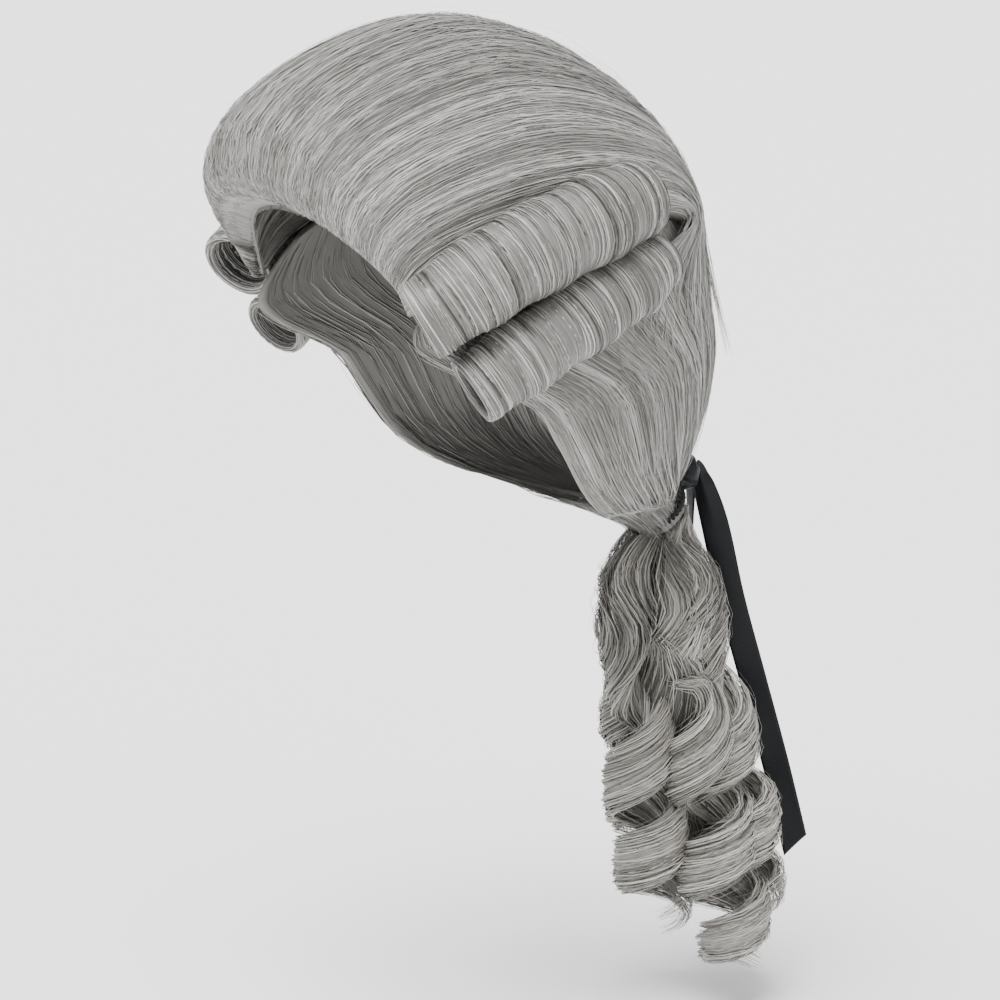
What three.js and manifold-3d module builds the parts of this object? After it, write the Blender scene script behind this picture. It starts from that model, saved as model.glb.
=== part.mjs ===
// Swept-back court wig: a raised hollow crown, two wound rolls at each side, hair gathered at the nape
// by a braided tie, a ribbon knotted on it, and a queue of large spiral locks.
// Millimetres. +Z is up, the face opening looks towards -Y and the wig's left side is +X.
// The origin is the inner top of the cap hollow. "Back" is measured along Y and "drop" down from it.
import * as THREE from 'three';
import { mergeVertices } from 'three/addons/utils/BufferGeometryUtils.js';
import Module from 'manifold-3d';

const wasm = await Module();
wasm.setup();

// Cap hollow: a rounded form that the crown closes over.
const HOLLOW_LENGTH = 195;
const HOLLOW_WIDTH = 152;
const HOLLOW_DEPTH = 100;
const HOLLOW_SQUARENESS = 2.3;

// Gap between pieces that touch.
const FIT_GAP = 0.3;

// Hair mats: the thinnest lip, the raised crown's deepest hair, the loose hair behind, and the height of
// a comb mark. Comb marks on the crown fade towards both ends, at shares of its length.
const LIP_WALL = 3.5;
const CROWN_WALL = 33;
const BACK_WALL = 12;
const COMB_RELIEF = 1.1;
const CROWN_COMBS = 15;
const NAPE_COMBS = 13;
const COMBED_FROM = 0.08;
const COMBED_TO = 0.75;

// Side rolls: hair wound into open tubes.
const UPPER_ROLL_DIAMETER = 37.5;
const LOWER_ROLL_DIAMETER = 32;
const ROLL_WALL = 4.5;
const ROLL_BED = 2;
const RIGHT_ROLL_SETBACK = 12;
const ROLL_RIBS = 4;
const ROLL_RIB_RELIEF = 0.7;
const ROLL_RIM = 1.1;

// Gather and tie at the nape. The gathered hair closes GATHER_SWEEP of a full turn.
const TIE_BACK = 108;
const TIE_DROP = 210;
const TIE_TILT = THREE.MathUtils.degToRad(40);
const GATHER_DIAMETER = 25;
const GATHER_WALL = 5;
const GATHER_LENGTH = 18;
const GATHER_SWEEP = 0.95;
const TIE_WALL = 3.5;
const TIE_HEIGHT = 11;
const TIE_PLAITS = 12;
const PLAIT_RELIEF = 0.16;

// Queue.
const QUEUE_LENGTH = 224;
const QUEUE_LEAN = 40;
const QUEUE_SWING = 1.35;
const QUEUE_SPREAD = 22;
const LOCK_WIDTH = 23;
const LOCK_THICKNESS = 12;
const CURL_RADIUS = 12;
const CURL_GATHERING = 1.9;
const ROOT_PLUG_LENGTH = 12;

// Ribbon. The knot's middle sits KNOT_SEAT of its size off the tie.
const KNOT_SIZE = 18;
const KNOT_FLATNESS = 0.84;
const KNOT_SEAT = 0.27;
const RIBBON_WIDTH = 13;
const RIBBON_THICKNESS = 1;
const RIBBON_FALL = 200;
const RIBBON_END_SLANT = 0.35;

// Facets: lengths along each form, and arcs across or sides round it.
const CROWN_STATIONS = 17;
const CROWN_ARCS = 26;
const NAPE_STATIONS = 14;
const NAPE_ARCS = 22;
const ROLL_LENGTHS = 9;
const ROLL_BORE_LENGTHS = 3;
const ROLL_SIDES = 12;
const TIE_LENGTHS = 36;
const TIE_SIDES = 8;
const KNOT_SIDES = 10;
const KNOT_RINGS = 7;
const TAIL_LENGTHS = 15;
const LOCK_LENGTHS = 28;
const LOCK_SIDES = 6;
const LOCK_CROWDING = 0.62;
const ROOT_SIDES = 14;
const HALVINGS = 24;
const TANGENT_STEP = 0.005;

const HALF_LENGTH = HOLLOW_LENGTH / 2;
const HALF_WIDTH = HOLLOW_WIDTH / 2;

// Crown sections from the hairline to its end at the upper back. Each is half an oval over the hollow.
// back and sideBack are shares of HALF_LENGTH, drop and sideDrop of HOLLOW_DEPTH, width of HALF_WIDTH
// and wall of the hair's whole depth there. fullness is 1 for an oval and less for a squarer arc.
const CROWN_SECTIONS = [
  { back: -0.985, drop: 0.50, sideBack: -0.705, sideDrop: 0.93, width: 0.85, wall: 1, fullness: 0.88 },
  { back: -1.09, drop: 0.47, sideBack: -0.685, sideDrop: 0.915, width: 0.87, wall: 1, fullness: 0.9 },
  { back: -1.17, drop: 0.36, sideBack: -0.655, sideDrop: 0.89, width: 0.90, wall: 1, fullness: 0.92 },
  { back: -1.12, drop: 0.16, sideBack: -0.61, sideDrop: 0.85, width: 0.93, wall: 1, fullness: 0.95 },
  { back: -0.89, drop: -0.03, sideBack: -0.50, sideDrop: 0.79, width: 0.97, wall: 1, fullness: 0.97 },
  { back: -0.52, drop: -0.175, sideBack: -0.32, sideDrop: 0.72, width: 1.01, wall: 1, fullness: 1 },
  { back: -0.12, drop: -0.235, sideBack: -0.06, sideDrop: 0.66, width: 1.04, wall: 1, fullness: 1 },
  { back: 0.27, drop: -0.16, sideBack: 0.20, sideDrop: 0.61, width: 1.04, wall: 0.9, fullness: 1 },
  { back: 0.60, drop: 0.00, sideBack: 0.44, sideDrop: 0.58, width: 1.00, wall: 0.6, fullness: 1 },
  { back: 0.84, drop: 0.19, sideBack: 0.64, sideDrop: 0.58, width: 0.92, wall: 0.4, fullness: 1 },
  { back: 0.98, drop: 0.40, sideBack: 0.80, sideDrop: 0.62, width: 0.81, wall: 0.25, fullness: 1 },
  { back: 1.08, drop: 0.64, sideBack: 0.92, sideDrop: 0.70, width: 0.70, wall: 0.15, fullness: 1 },
];

// Nape sections from under the crown to the gather. back and midBack are shares of HALF_LENGTH, drop and
// midDrop of TIE_DROP, width of HALF_WIDTH, sweep of a half turn and wall of BACK_WALL.
const NAPE_SECTIONS = [
  { back: 0.80, drop: 0.190, midBack: -0.02, midDrop: 0.305, width: 1.00, sweep: 0.70, wall: 1.0 },
  { back: 1.02, drop: 0.290, midBack: 0.00, midDrop: 0.380, width: 1.04, sweep: 0.71, wall: 1.0 },
  { back: 1.19, drop: 0.400, midBack: 0.02, midDrop: 0.466, width: 1.06, sweep: 0.71, wall: 1.0 },
  { back: 1.27, drop: 0.514, midBack: 0.04, midDrop: 0.552, width: 1.07, sweep: 0.65, wall: 1.0 },
  { back: 1.29, drop: 0.619, midBack: 0.05, midDrop: 0.638, width: 1.07, sweep: 0.56, wall: 1.0 },
  { back: 1.26, drop: 0.724, midBack: 0.06, midDrop: 0.743, width: 1.05, sweep: 0.52, wall: 0.9 },
  { back: 1.20, drop: 0.819, midBack: 0.10, midDrop: 0.843, width: 1.00, sweep: 0.49, wall: 0.8 },
  { back: 1.15, drop: 0.890, midBack: 0.31, midDrop: 0.914, width: 0.82, sweep: 0.49, wall: 0.7 },
  { back: 1.12, drop: 0.935, midBack: 0.66, midDrop: 0.950, width: 0.52, sweep: 0.54, wall: 0.55 },
];

// Roll stations from the front end to the rear end. back is a share of HALF_LENGTH, drop of HOLLOW_DEPTH
// and size of the roll's diameter.
const UPPER_ROLL_STATIONS = [
  { back: -0.77, drop: 0.93, size: 0.93 },
  { back: -0.54, drop: 0.78, size: 1.00 },
  { back: -0.26, drop: 0.65, size: 1.02 },
  { back: 0.07, drop: 0.55, size: 1.00 },
  { back: 0.33, drop: 0.49, size: 0.93 },
];
const LOWER_ROLL_STATIONS = [
  { back: -0.55, drop: 1.24, size: 0.96 },
  { back: -0.32, drop: 1.10, size: 1.02 },
  { back: -0.02, drop: 0.95, size: 1.04 },
  { back: 0.27, drop: 0.83, size: 0.98 },
  { back: 0.44, drop: 0.76, size: 0.80 },
];

// Queue locks. turn is the place round the queue in degrees, 0 at the back and 90 at the left side;
// spread is a share of QUEUE_SPREAD, length of QUEUE_LENGTH, curl of CURL_RADIUS, width of LOCK_WIDTH;
// coils is the number of curls and phase the first curl's direction, both in turns.
const QUEUE_LOCKS = [
  { turn: 58, spread: 0.88, length: 0.87, curl: 1.15, width: 1.10, coils: 3.4, phase: 0.10 },
  { turn: 108, spread: 0.95, length: 1.00, curl: 1.20, width: 1.15, coils: 3.6, phase: 0.42 },
  { turn: 176, spread: 1.35, length: 0.88, curl: 1.10, width: 1.20, coils: 3.2, phase: 0.20 },
  { turn: 250, spread: 1.30, length: 0.84, curl: 1.00, width: 1.10, coils: 3.1, phase: 0.62 },
  { turn: 345, spread: 0.78, length: 0.91, curl: 1.05, width: 1.10, coils: 3.5, phase: 0.90 },
];

// A lock's form along its length: spread from the queue's axis, curl, width and thickness, as shares.
const LOCK_PROFILE = [
  { out: 0.25, curl: 0.05, width: 0.50, thickness: 0.70 },
  { out: 0.76, curl: 0.20, width: 1.00, thickness: 1.15 },
  { out: 0.88, curl: 0.42, width: 1.10, thickness: 1.20 },
  { out: 0.91, curl: 0.68, width: 1.00, thickness: 1.10 },
  { out: 0.98, curl: 0.92, width: 0.95, thickness: 1.00 },
  { out: 1.06, curl: 1.06, width: 0.95, thickness: 0.95 },
  { out: 1.10, curl: 1.10, width: 0.90, thickness: 0.85 },
  { out: 1.10, curl: 0.95, width: 0.45, thickness: 0.45 },
];

// The knot's middle turn and its two folded lobes: places and size as shares of KNOT_SIZE, turn in radians.
const KNOT_LOBES = [
  { along: 0.00, side: 0.00, turn: 0.0, size: 1.00 },
  { along: 0.22, side: 0.36, turn: 0.6, size: 0.72 },
  { along: -0.22, side: -0.36, turn: -0.6, size: 0.72 },
];

// Ribbon tails from the knot's middle down: places as shares of RIBBON_FALL, width of RIBBON_WIDTH where the
// knot folds it, and the width's turn from sideways in radians.
const LEFT_TAIL = [
  { side: 0.015, back: 0.030, drop: 0.000, width: 0.50 },
  { side: 0.020, back: 0.043, drop: 0.010, width: 0.55 },
  { side: 0.030, back: 0.052, drop: 0.045, width: 0.80 },
  { side: 0.046, back: 0.075, drop: 0.140, width: 1.00 },
  { side: 0.058, back: 0.115, drop: 0.315, width: 1.00 },
  { side: 0.068, back: 0.175, drop: 0.515, width: 1.00 },
  { side: 0.075, back: 0.245, drop: 0.740, width: 1.00 },
  { side: 0.075, back: 0.310, drop: 0.955, width: 1.00 },
];
const RIGHT_TAIL = [
  { side: -0.020, back: 0.030, drop: 0.010, width: 0.50 },
  { side: -0.040, back: 0.052, drop: 0.025, width: 0.60 },
  { side: -0.065, back: 0.072, drop: 0.070, width: 0.85 },
  { side: -0.090, back: 0.100, drop: 0.170, width: 1.00 },
  { side: -0.110, back: 0.140, drop: 0.340, width: 1.00 },
  { side: -0.110, back: 0.185, drop: 0.540, width: 1.00 },
  { side: -0.100, back: 0.230, drop: 0.750, width: 1.00 },
  { side: -0.095, back: 0.270, drop: 0.920, width: 1.00 },
];
const LEFT_TAIL_TURN = 0.9;
const RIGHT_TAIL_TURN = -0.5;

// Root of the queue from inside the gather down to where the locks hide it. along is a share of
// QUEUE_LENGTH below the gather's end and radius of the neck's.
const ROOT_ROWS = [
  { along: 0.001, radius: 1.00 },
  { along: 0.036, radius: 1.00 },
  { along: 0.106, radius: 1.35 },
  { along: 0.210, radius: 1.70 },
  { along: 0.350, radius: 1.75 },
  { along: 0.510, radius: 1.40 },
  { along: 0.680, radius: 0.80 },
  { along: 0.800, radius: 0.30 },
];

// Directions in the middle plane: along the gathered hair, and square to it towards the back.
const GATHER_AXIS = new THREE.Vector3(0, Math.sin(TIE_TILT), -Math.cos(TIE_TILT));
const GATHER_BACK = new THREE.Vector3(0, Math.cos(TIE_TILT), Math.sin(TIE_TILT));
const SIDEWAYS = new THREE.Vector3(1, 0, 0);
const TIE_CENTRE = new THREE.Vector3(0, TIE_BACK, -TIE_DROP);
const HOLLOW_CENTRE = new THREE.Vector3(0, 0, -HOLLOW_DEPTH);

// Values of a table's columns at a share of its length, on a smooth curve through its rows.
function sample(rows, share) {
  const place = share * (rows.length - 1);
  const index = THREE.MathUtils.clamp(Math.floor(place), 0, rows.length - 2);
  const rest = place - index;
  const row = (offset) => rows[THREE.MathUtils.clamp(index + offset, 0, rows.length - 1)];
  const values = {};
  for (const key of Object.keys(rows[0])) {
    const [p, q, r, s] = [row(-1)[key], row(0)[key], row(1)[key], row(2)[key]];
    const start = (r - p) / 2;
    const end = (s - q) / 2;
    const bend = 3 * (r - q) - 2 * start - end;
    values[key] = q + rest * (start + rest * (bend + rest * (2 * (q - r) + start + end)));
  }
  return values;
}

// Even shares from 0 to 1 for a number of lengths.
function stationShares(lengths) {
  return Array.from({ length: lengths + 1 }, (_, i) => i / lengths);
}

// Joins rings of points into one closed body. Ends are closed by a fan, by a strip between the two
// halves of a folded ring, or by joining the last ring to the first.
function skin(rings, ends) {
  const count = rings[0].length;
  const positions = rings.flat().flatMap((point) => [point.x, point.y, point.z]);
  const triangles = [];
  const last = ends === 'wrap' ? rings.length : rings.length - 1;
  for (let i = 0; i < last; i += 1) {
    const here = i * count;
    const next = ((i + 1) % rings.length) * count;
    for (let j = 0; j < count; j += 1) {
      const k = (j + 1) % count;
      triangles.push(here + j, next + j, next + k, here + j, next + k, here + k);
    }
  }
  const capStarts = ends === 'wrap' ? [] : [0, (rings.length - 1) * count];
  for (const start of capStarts) {
    const flip = start > 0;
    const add = (a, b, c) => triangles.push(start + a, start + (flip ? c : b), start + (flip ? b : c));
    if (ends === 'fan') {
      for (let j = 1; j < count - 1; j += 1) add(0, j, j + 1);
    } else {
      for (let j = 0; j < count / 2 - 1; j += 1) {
        const far = count - 1 - j;
        add(j, j + 1, far - 1);
        add(j, far - 1, far);
      }
    }
  }
  const geometry = new THREE.BufferGeometry();
  geometry.setAttribute('position', new THREE.Float32BufferAttribute(positions, 3));
  geometry.setIndex(signedVolume(positions, triangles) < 0 ? triangles.reverse() : triangles);
  return mergeVertices(geometry);
}

function signedVolume(positions, triangles) {
  const corner = (index) => new THREE.Vector3().fromArray(positions, 3 * index);
  let volume = 0;
  for (let i = 0; i < triangles.length; i += 3) {
    volume += corner(triangles[i]).dot(corner(triangles[i + 1]).cross(corner(triangles[i + 2])));
  }
  return volume / 6;
}

function toSolid(geometry) {
  return new wasm.Manifold(new wasm.Mesh({
    numProp: 3,
    vertProperties: new Float32Array(geometry.attributes.position.array),
    triVerts: new Uint32Array(geometry.index.array),
  }));
}

// The largest closed body of a cut piece, without the slivers that a cut leaves.
function toGeometry(solid) {
  const bodies = solid.decompose().sort((a, b) => b.volume() - a.volume());
  const mesh = bodies[0].getMesh();
  const geometry = new THREE.BufferGeometry();
  geometry.setAttribute('position', new THREE.Float32BufferAttribute(mesh.vertProperties, 3));
  geometry.setIndex(Array.from(mesh.triVerts));
  return geometry;
}

// Below 1 inside the cap hollow, which goes straight down under its widest level.
function hollowMeasure(point, grow) {
  const rise = Math.max(0, point.z + HOLLOW_DEPTH);
  return Math.abs(point.x / (HALF_WIDTH + grow)) ** HOLLOW_SQUARENESS
    + Math.abs(point.y / (HALF_LENGTH + grow)) ** HOLLOW_SQUARENESS
    + (rise / (HOLLOW_DEPTH + grow)) ** HOLLOW_SQUARENESS;
}

// Half width of the hollow, grown all round, at a place behind the middle and down from the top.
function sideReach(y, z, grow) {
  const used = hollowMeasure(new THREE.Vector3(0, y, z), grow);
  return (HALF_WIDTH + grow) * Math.max(0, 1 - used) ** (1 / HOLLOW_SQUARENESS);
}

// How far a point on the hair lies from the hollow on its way to a core point.
function hairDepth(point, core) {
  let near = 0;
  let far = 1;
  if (hollowMeasure(core, 0) >= 1) return Infinity;
  if (hollowMeasure(point, 0) <= 1) return 0;
  for (let step = 0; step < HALVINGS; step += 1) {
    const half = (near + far) / 2;
    if (hollowMeasure(point.clone().lerp(core, half), 0) > 1) near = half;
    else far = half;
  }
  return near * point.distanceTo(core);
}

// One section of a hair mat: its outer arc, then its inner arc back again.
function matSection(section, combs, arcs, grow) {
  const { middle, reach, halfWidth, sweep, fullness, core, least, most } = section;
  const full = (value) => Math.sign(value) * Math.abs(value) ** fullness;
  const outer = [];
  const inner = [];
  const margin = grow / (sweep * Math.min(halfWidth, reach.length()));
  const marks = Array.from({ length: arcs + 1 }, (_, i) => (2 * i) / arcs - 1);
  if (grow > 0) marks.splice(0, marks.length, -1 - margin, ...marks, 1 + margin);
  for (const across of marks) {
    const angle = across * sweep;
    const point = middle.clone()
      .addScaledVector(reach, full(Math.cos(angle)))
      .addScaledVector(SIDEWAYS, halfWidth * full(Math.sin(angle)));
    const inward = core.clone().sub(point).normalize();
    const depth = THREE.MathUtils.clamp(hairDepth(point, core), least, Math.max(least, most));
    const comb = COMB_RELIEF * Math.cos(Math.PI * combs * across) * section.combing;
    outer.push(point.clone().addScaledVector(inward, -comb - grow));
    inner.unshift(point.clone().addScaledVector(inward, depth + grow));
  }
  return [...outer, ...inner];
}

function crownSection(share) {
  const row = sample(CROWN_SECTIONS, share);
  const middle = new THREE.Vector3(0, row.sideBack * HALF_LENGTH, -row.sideDrop * HOLLOW_DEPTH);
  const top = new THREE.Vector3(0, row.back * HALF_LENGTH, -row.drop * HOLLOW_DEPTH);
  return {
    middle,
    reach: top.sub(middle),
    halfWidth: row.width * HALF_WIDTH,
    sweep: Math.PI / 2,
    fullness: row.fullness,
    core: HOLLOW_CENTRE,
    least: LIP_WALL,
    most: row.wall * CROWN_WALL,
    combing: Math.sin(Math.PI * THREE.MathUtils.clamp(share, COMBED_FROM, COMBED_TO)),
  };
}

// Sections of a hair mat in turn. A copy grown for clearance also starts and ends that much further out.
function matRings(sections, combs, arcs, grow) {
  const rings = sections.map((section) => matSection(section, combs, arcs, grow));
  if (grow === 0) return rings;
  const beyond = (section, distance) => {
    const onward = section.reach.clone().cross(SIDEWAYS).normalize().multiplyScalar(distance);
    return matSection(section, combs, arcs, grow).map((point) => point.add(onward));
  };
  return [beyond(sections[0], -grow), ...rings, beyond(sections[sections.length - 1], grow)];
}

function crownMat(grow) {
  const sections = stationShares(CROWN_STATIONS).map(crownSection);
  return toSolid(skin(matRings(sections, CROWN_COMBS, CROWN_ARCS, grow), 'strip'));
}

// The gathered end that passes through the tie, as sections like the nape's own.
function gatherSection(along) {
  const middle = TIE_CENTRE.clone().addScaledVector(GATHER_AXIS, along * GATHER_LENGTH);
  const radius = GATHER_DIAMETER / 2;
  return {
    middle,
    reach: GATHER_BACK.clone().multiplyScalar(radius),
    halfWidth: radius,
    sweep: Math.PI * GATHER_SWEEP,
    fullness: 1,
    core: middle,
    least: GATHER_WALL,
    most: GATHER_WALL,
    combing: 0,
  };
}

function napeSection(share) {
  const row = sample(NAPE_SECTIONS, share);
  const middle = new THREE.Vector3(0, row.midBack * HALF_LENGTH, -row.midDrop * TIE_DROP);
  const back = new THREE.Vector3(0, row.back * HALF_LENGTH, -row.drop * TIE_DROP);
  return {
    middle,
    reach: back.sub(middle),
    halfWidth: row.width * HALF_WIDTH,
    sweep: row.sweep * Math.PI,
    fullness: 1,
    core: middle,
    least: LIP_WALL,
    most: row.wall * BACK_WALL,
    combing: 1,
  };
}

function napeMat(grow) {
  const sections = stationShares(NAPE_STATIONS).map(napeSection);
  sections.push(gatherSection(-0.5), gatherSection(0.5));
  return toSolid(skin(matRings(sections, NAPE_COMBS, NAPE_ARCS, grow), 'strip'));
}

// A side roll's middle line, laid on the hair beside the hollow. side is 1 on the left and -1 on the right.
function rollLine(stations, diameter, side) {
  const points = stations.map((station) => {
    const y = station.back * HALF_LENGTH + (side < 0 ? RIGHT_ROLL_SETBACK : 0);
    const z = -station.drop * HOLLOW_DEPTH;
    return new THREE.Vector3(side * sideReach(y, z, ROLL_BED + diameter / 2), y, z);
  });
  return new THREE.CatmullRomCurve3(points);
}

function rollSolid(stations, diameter, side, grow) {
  const line = rollLine(stations, diameter, side);
  const up = new THREE.Vector3(0, 0, 1);
  const rings = [];
  for (let j = 0; j < ROLL_SIDES; j += 1) {
    const angle = (2 * Math.PI * j) / ROLL_SIDES;
    const ring = [];
    const addPoint = (share, shrink) => {
      const centre = line.getPoint(share);
      const along = line.getTangent(share);
      const out = along.clone().cross(up).normalize();
      const over = out.clone().cross(along);
      const rib = ROLL_RIB_RELIEF * Math.cos(2 * Math.PI * ROLL_RIBS * share);
      const radius = sample(stations, share).size * diameter / 2 - shrink + rib;
      ring.push(centre.clone()
        .addScaledVector(out, radius * Math.cos(angle))
        .addScaledVector(over, radius * Math.sin(angle)));
    };
    for (const share of stationShares(ROLL_LENGTHS)) {
      const rim = share === 0 || share === 1 ? ROLL_RIM : 0;
      addPoint(share, rim - grow);
    }
    for (const share of stationShares(ROLL_BORE_LENGTHS).reverse()) addPoint(share, ROLL_WALL + grow);
    rings.push(ring);
  }
  return toSolid(skin(rings, 'wrap'));
}

// A braided band round the gather.
function hairTie(grow) {
  const rings = [];
  for (let i = 0; i < TIE_LENGTHS; i += 1) {
    const turn = (2 * Math.PI * i) / TIE_LENGTHS;
    const outward = GATHER_BACK.clone()
      .multiplyScalar(Math.cos(turn))
      .addScaledVector(SIDEWAYS, Math.sin(turn));
    const ring = [];
    for (let j = 0; j < TIE_SIDES; j += 1) {
      const angle = (2 * Math.PI * j) / TIE_SIDES;
      const plait = 1 + PLAIT_RELIEF * Math.cos(TIE_PLAITS * turn + 2 * angle);
      const thick = (TIE_WALL / 2 + grow) * (Math.cos(angle) > 0 ? plait : 1) * Math.cos(angle);
      const high = (TIE_HEIGHT / 2 + grow) * plait * Math.sin(angle);
      const distance = GATHER_DIAMETER / 2 + FIT_GAP + TIE_WALL / 2 + thick;
      ring.push(TIE_CENTRE.clone().addScaledVector(outward, distance).addScaledVector(GATHER_AXIS, high));
    }
    rings.push(ring);
  }
  return skin(rings, 'wrap');
}

const knotCentre = TIE_CENTRE.clone()
  .addScaledVector(GATHER_BACK, GATHER_DIAMETER / 2 + TIE_WALL + KNOT_SIZE * KNOT_SEAT);

// A small lump of wound ribbon: a middle turn over two folded lobes.
function ribbonKnot(grow) {
  let knot = null;
  for (const lobe of KNOT_LOBES) {
    const geometry = new THREE.SphereGeometry(KNOT_SIZE / 2, KNOT_SIDES, KNOT_RINGS);
    geometry.deleteAttribute('normal');
    geometry.deleteAttribute('uv');
    const scale = lobe.size + (2 * grow) / KNOT_SIZE;
    geometry.scale(scale, KNOT_FLATNESS * scale, scale);
    geometry.rotateX(TIE_TILT + lobe.turn);
    const place = knotCentre.clone()
      .addScaledVector(GATHER_AXIS, lobe.along * KNOT_SIZE)
      .addScaledVector(SIDEWAYS, lobe.side * KNOT_SIZE);
    geometry.translate(place.x, place.y, place.z);
    const solid = toSolid(mergeVertices(geometry));
    knot = knot ? knot.add(solid) : solid;
  }
  return knot;
}

// A flat strip along its line, its width turned by an angle from sideways.
function ribbonTail(places, turn, grow) {
  const points = places.map((place) => knotCentre.clone()
    .addScaledVector(new THREE.Vector3(place.side, place.back, -place.drop), RIBBON_FALL));
  const line = new THREE.CatmullRomCurve3(points);
  const rings = [];
  for (const share of stationShares(TAIL_LENGTHS)) {
    const centre = line.getPoint(share);
    const along = line.getTangent(share);
    const wide = new THREE.Vector3(Math.cos(turn), Math.sin(turn), 0);
    wide.addScaledVector(along, -wide.dot(along)).normalize();
    const face = wide.clone().cross(along);
    const slant = share === 1 ? RIBBON_WIDTH * RIBBON_END_SLANT : 0;
    const half = sample(places, share).width * RIBBON_WIDTH / 2 + grow;
    rings.push([[-1, -1], [1, -1], [1, 1], [-1, 1]].map(([w, t]) => centre.clone()
      .addScaledVector(wide, w * half)
      .addScaledVector(face, t * (RIBBON_THICKNESS / 2 + grow))
      .addScaledVector(along, -w * slant)));
  }
  return toSolid(skin(rings, 'fan'));
}

// The queue's axis, from under the tie, falling and leaning back more and more.
function queueAxis(share) {
  const start = TIE_CENTRE.clone().addScaledVector(GATHER_AXIS, GATHER_LENGTH / 2 + FIT_GAP);
  return start.add(new THREE.Vector3(0, QUEUE_LEAN * share ** QUEUE_SWING, -QUEUE_LENGTH * share));
}

function queueLock(lock) {
  const turn = THREE.MathUtils.degToRad(lock.turn);
  const outward = new THREE.Vector3(Math.sin(turn), Math.cos(turn), 0);
  const swirl = (share) => {
    const curl = 2 * Math.PI * (lock.phase + lock.coils * share ** CURL_GATHERING);
    return new THREE.Vector3(Math.sin(curl), Math.cos(curl), 0);
  };
  const place = (share) => {
    const form = sample(LOCK_PROFILE, share);
    return queueAxis(share * lock.length)
      .addScaledVector(outward, QUEUE_SPREAD * lock.spread * form.out)
      .addScaledVector(swirl(share), CURL_RADIUS * lock.curl * form.curl);
  };
  const rings = [];
  for (const even of stationShares(LOCK_LENGTHS)) {
    const share = even ** LOCK_CROWDING;
    const form = sample(LOCK_PROFILE, share);
    const centre = place(share);
    const behind = Math.max(0, share - TANGENT_STEP);
    const along = place(Math.min(1, share + TANGENT_STEP)).sub(place(behind)).normalize();
    const face = outward.clone().lerp(swirl(share), Math.min(1, form.curl));
    face.addScaledVector(along, -face.dot(along)).normalize();
    const wide = face.clone().cross(along);
    const ring = [];
    for (let j = 0; j < LOCK_SIDES; j += 1) {
      const angle = (2 * Math.PI * j) / LOCK_SIDES;
      ring.push(centre.clone()
        .addScaledVector(wide, (LOCK_WIDTH / 2) * lock.width * form.width * Math.cos(angle))
        .addScaledVector(face, (LOCK_THICKNESS / 2) * form.thickness * Math.sin(angle)));
    }
    rings.push(ring);
  }
  return toSolid(skin(rings, 'fan'));
}

// The queue's root: a plug inside the gather, and the neck of hair below the tie.
function queueRoot() {
  const neck = GATHER_DIAMETER / 2;
  const inside = neck - GATHER_WALL - FIT_GAP;
  const ringAt = (centre, back, radius) => stationShares(ROOT_SIDES).slice(1).map((share) => centre.clone()
    .addScaledVector(back, radius * Math.cos(2 * Math.PI * share))
    .addScaledVector(SIDEWAYS, radius * Math.sin(2 * Math.PI * share)));
  const plug = [-ROOT_PLUG_LENGTH, 0].map((along) => (
    ringAt(queueAxis(0).addScaledVector(GATHER_AXIS, along), GATHER_BACK, inside)));
  const below = ROOT_ROWS.map((row, i) => {
    const back = GATHER_BACK.clone().lerp(new THREE.Vector3(0, 1, 0), i / (ROOT_ROWS.length - 1)).normalize();
    return ringAt(queueAxis(row.along), back, neck * row.radius);
  });
  return toSolid(skin([...plug, ...below], 'fan'));
}

function queue() {
  let hair = queueRoot();
  for (const lock of QUEUE_LOCKS) hair = hair.add(queueLock(lock));
  return hair;
}

const GREY_HAIR = { color: 0xafaeac, roughness: 0.55, metalness: 0 };
const SHADED_HAIR = { color: 0xa3a19c, roughness: 0.55, metalness: 0 };
const BLACK_BRAID = { color: 0x1d1e21, roughness: 0.75, metalness: 0 };
const BLACK_SATIN = { color: 0x25282d, roughness: 0.5, metalness: 0 };

const wig = new THREE.Group();
function addPiece(name, geometry, look) {
  const mesh = new THREE.Mesh(geometry, new THREE.MeshStandardMaterial(look));
  mesh.name = name;
  wig.add(mesh);
}

const crownClearance = crownMat(FIT_GAP);
const nape = napeMat(0).subtract(crownClearance);
const bed = crownClearance.add(napeMat(FIT_GAP));
addPiece('crown_hair', toGeometry(crownMat(0)), GREY_HAIR);
addPiece('nape_hair', toGeometry(nape), GREY_HAIR);
for (const [word, side] of [['left', 1], ['right', -1]]) {
  const upper = rollSolid(UPPER_ROLL_STATIONS, UPPER_ROLL_DIAMETER, side, 0).subtract(bed);
  const upperClearance = rollSolid(UPPER_ROLL_STATIONS, UPPER_ROLL_DIAMETER, side, FIT_GAP);
  const lowerSpace = bed.add(upperClearance);
  const lower = rollSolid(LOWER_ROLL_STATIONS, LOWER_ROLL_DIAMETER, side, 0).subtract(lowerSpace);
  addPiece(`side_roll_upper_${word}`, toGeometry(upper), GREY_HAIR);
  addPiece(`side_roll_lower_${word}`, toGeometry(lower), GREY_HAIR);
}
addPiece('hair_tie', hairTie(0), BLACK_BRAID);
const gatherClearance = toSolid(hairTie(FIT_GAP)).add(napeMat(FIT_GAP));
const knotClearance = ribbonKnot(FIT_GAP).add(gatherClearance);
addPiece('ribbon_knot', toGeometry(ribbonKnot(0).subtract(gatherClearance)), BLACK_SATIN);
let queueSpace = gatherClearance;
const tails = [
  { word: 'left', places: LEFT_TAIL, turn: LEFT_TAIL_TURN },
  { word: 'right', places: RIGHT_TAIL, turn: RIGHT_TAIL_TURN },
];
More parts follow.
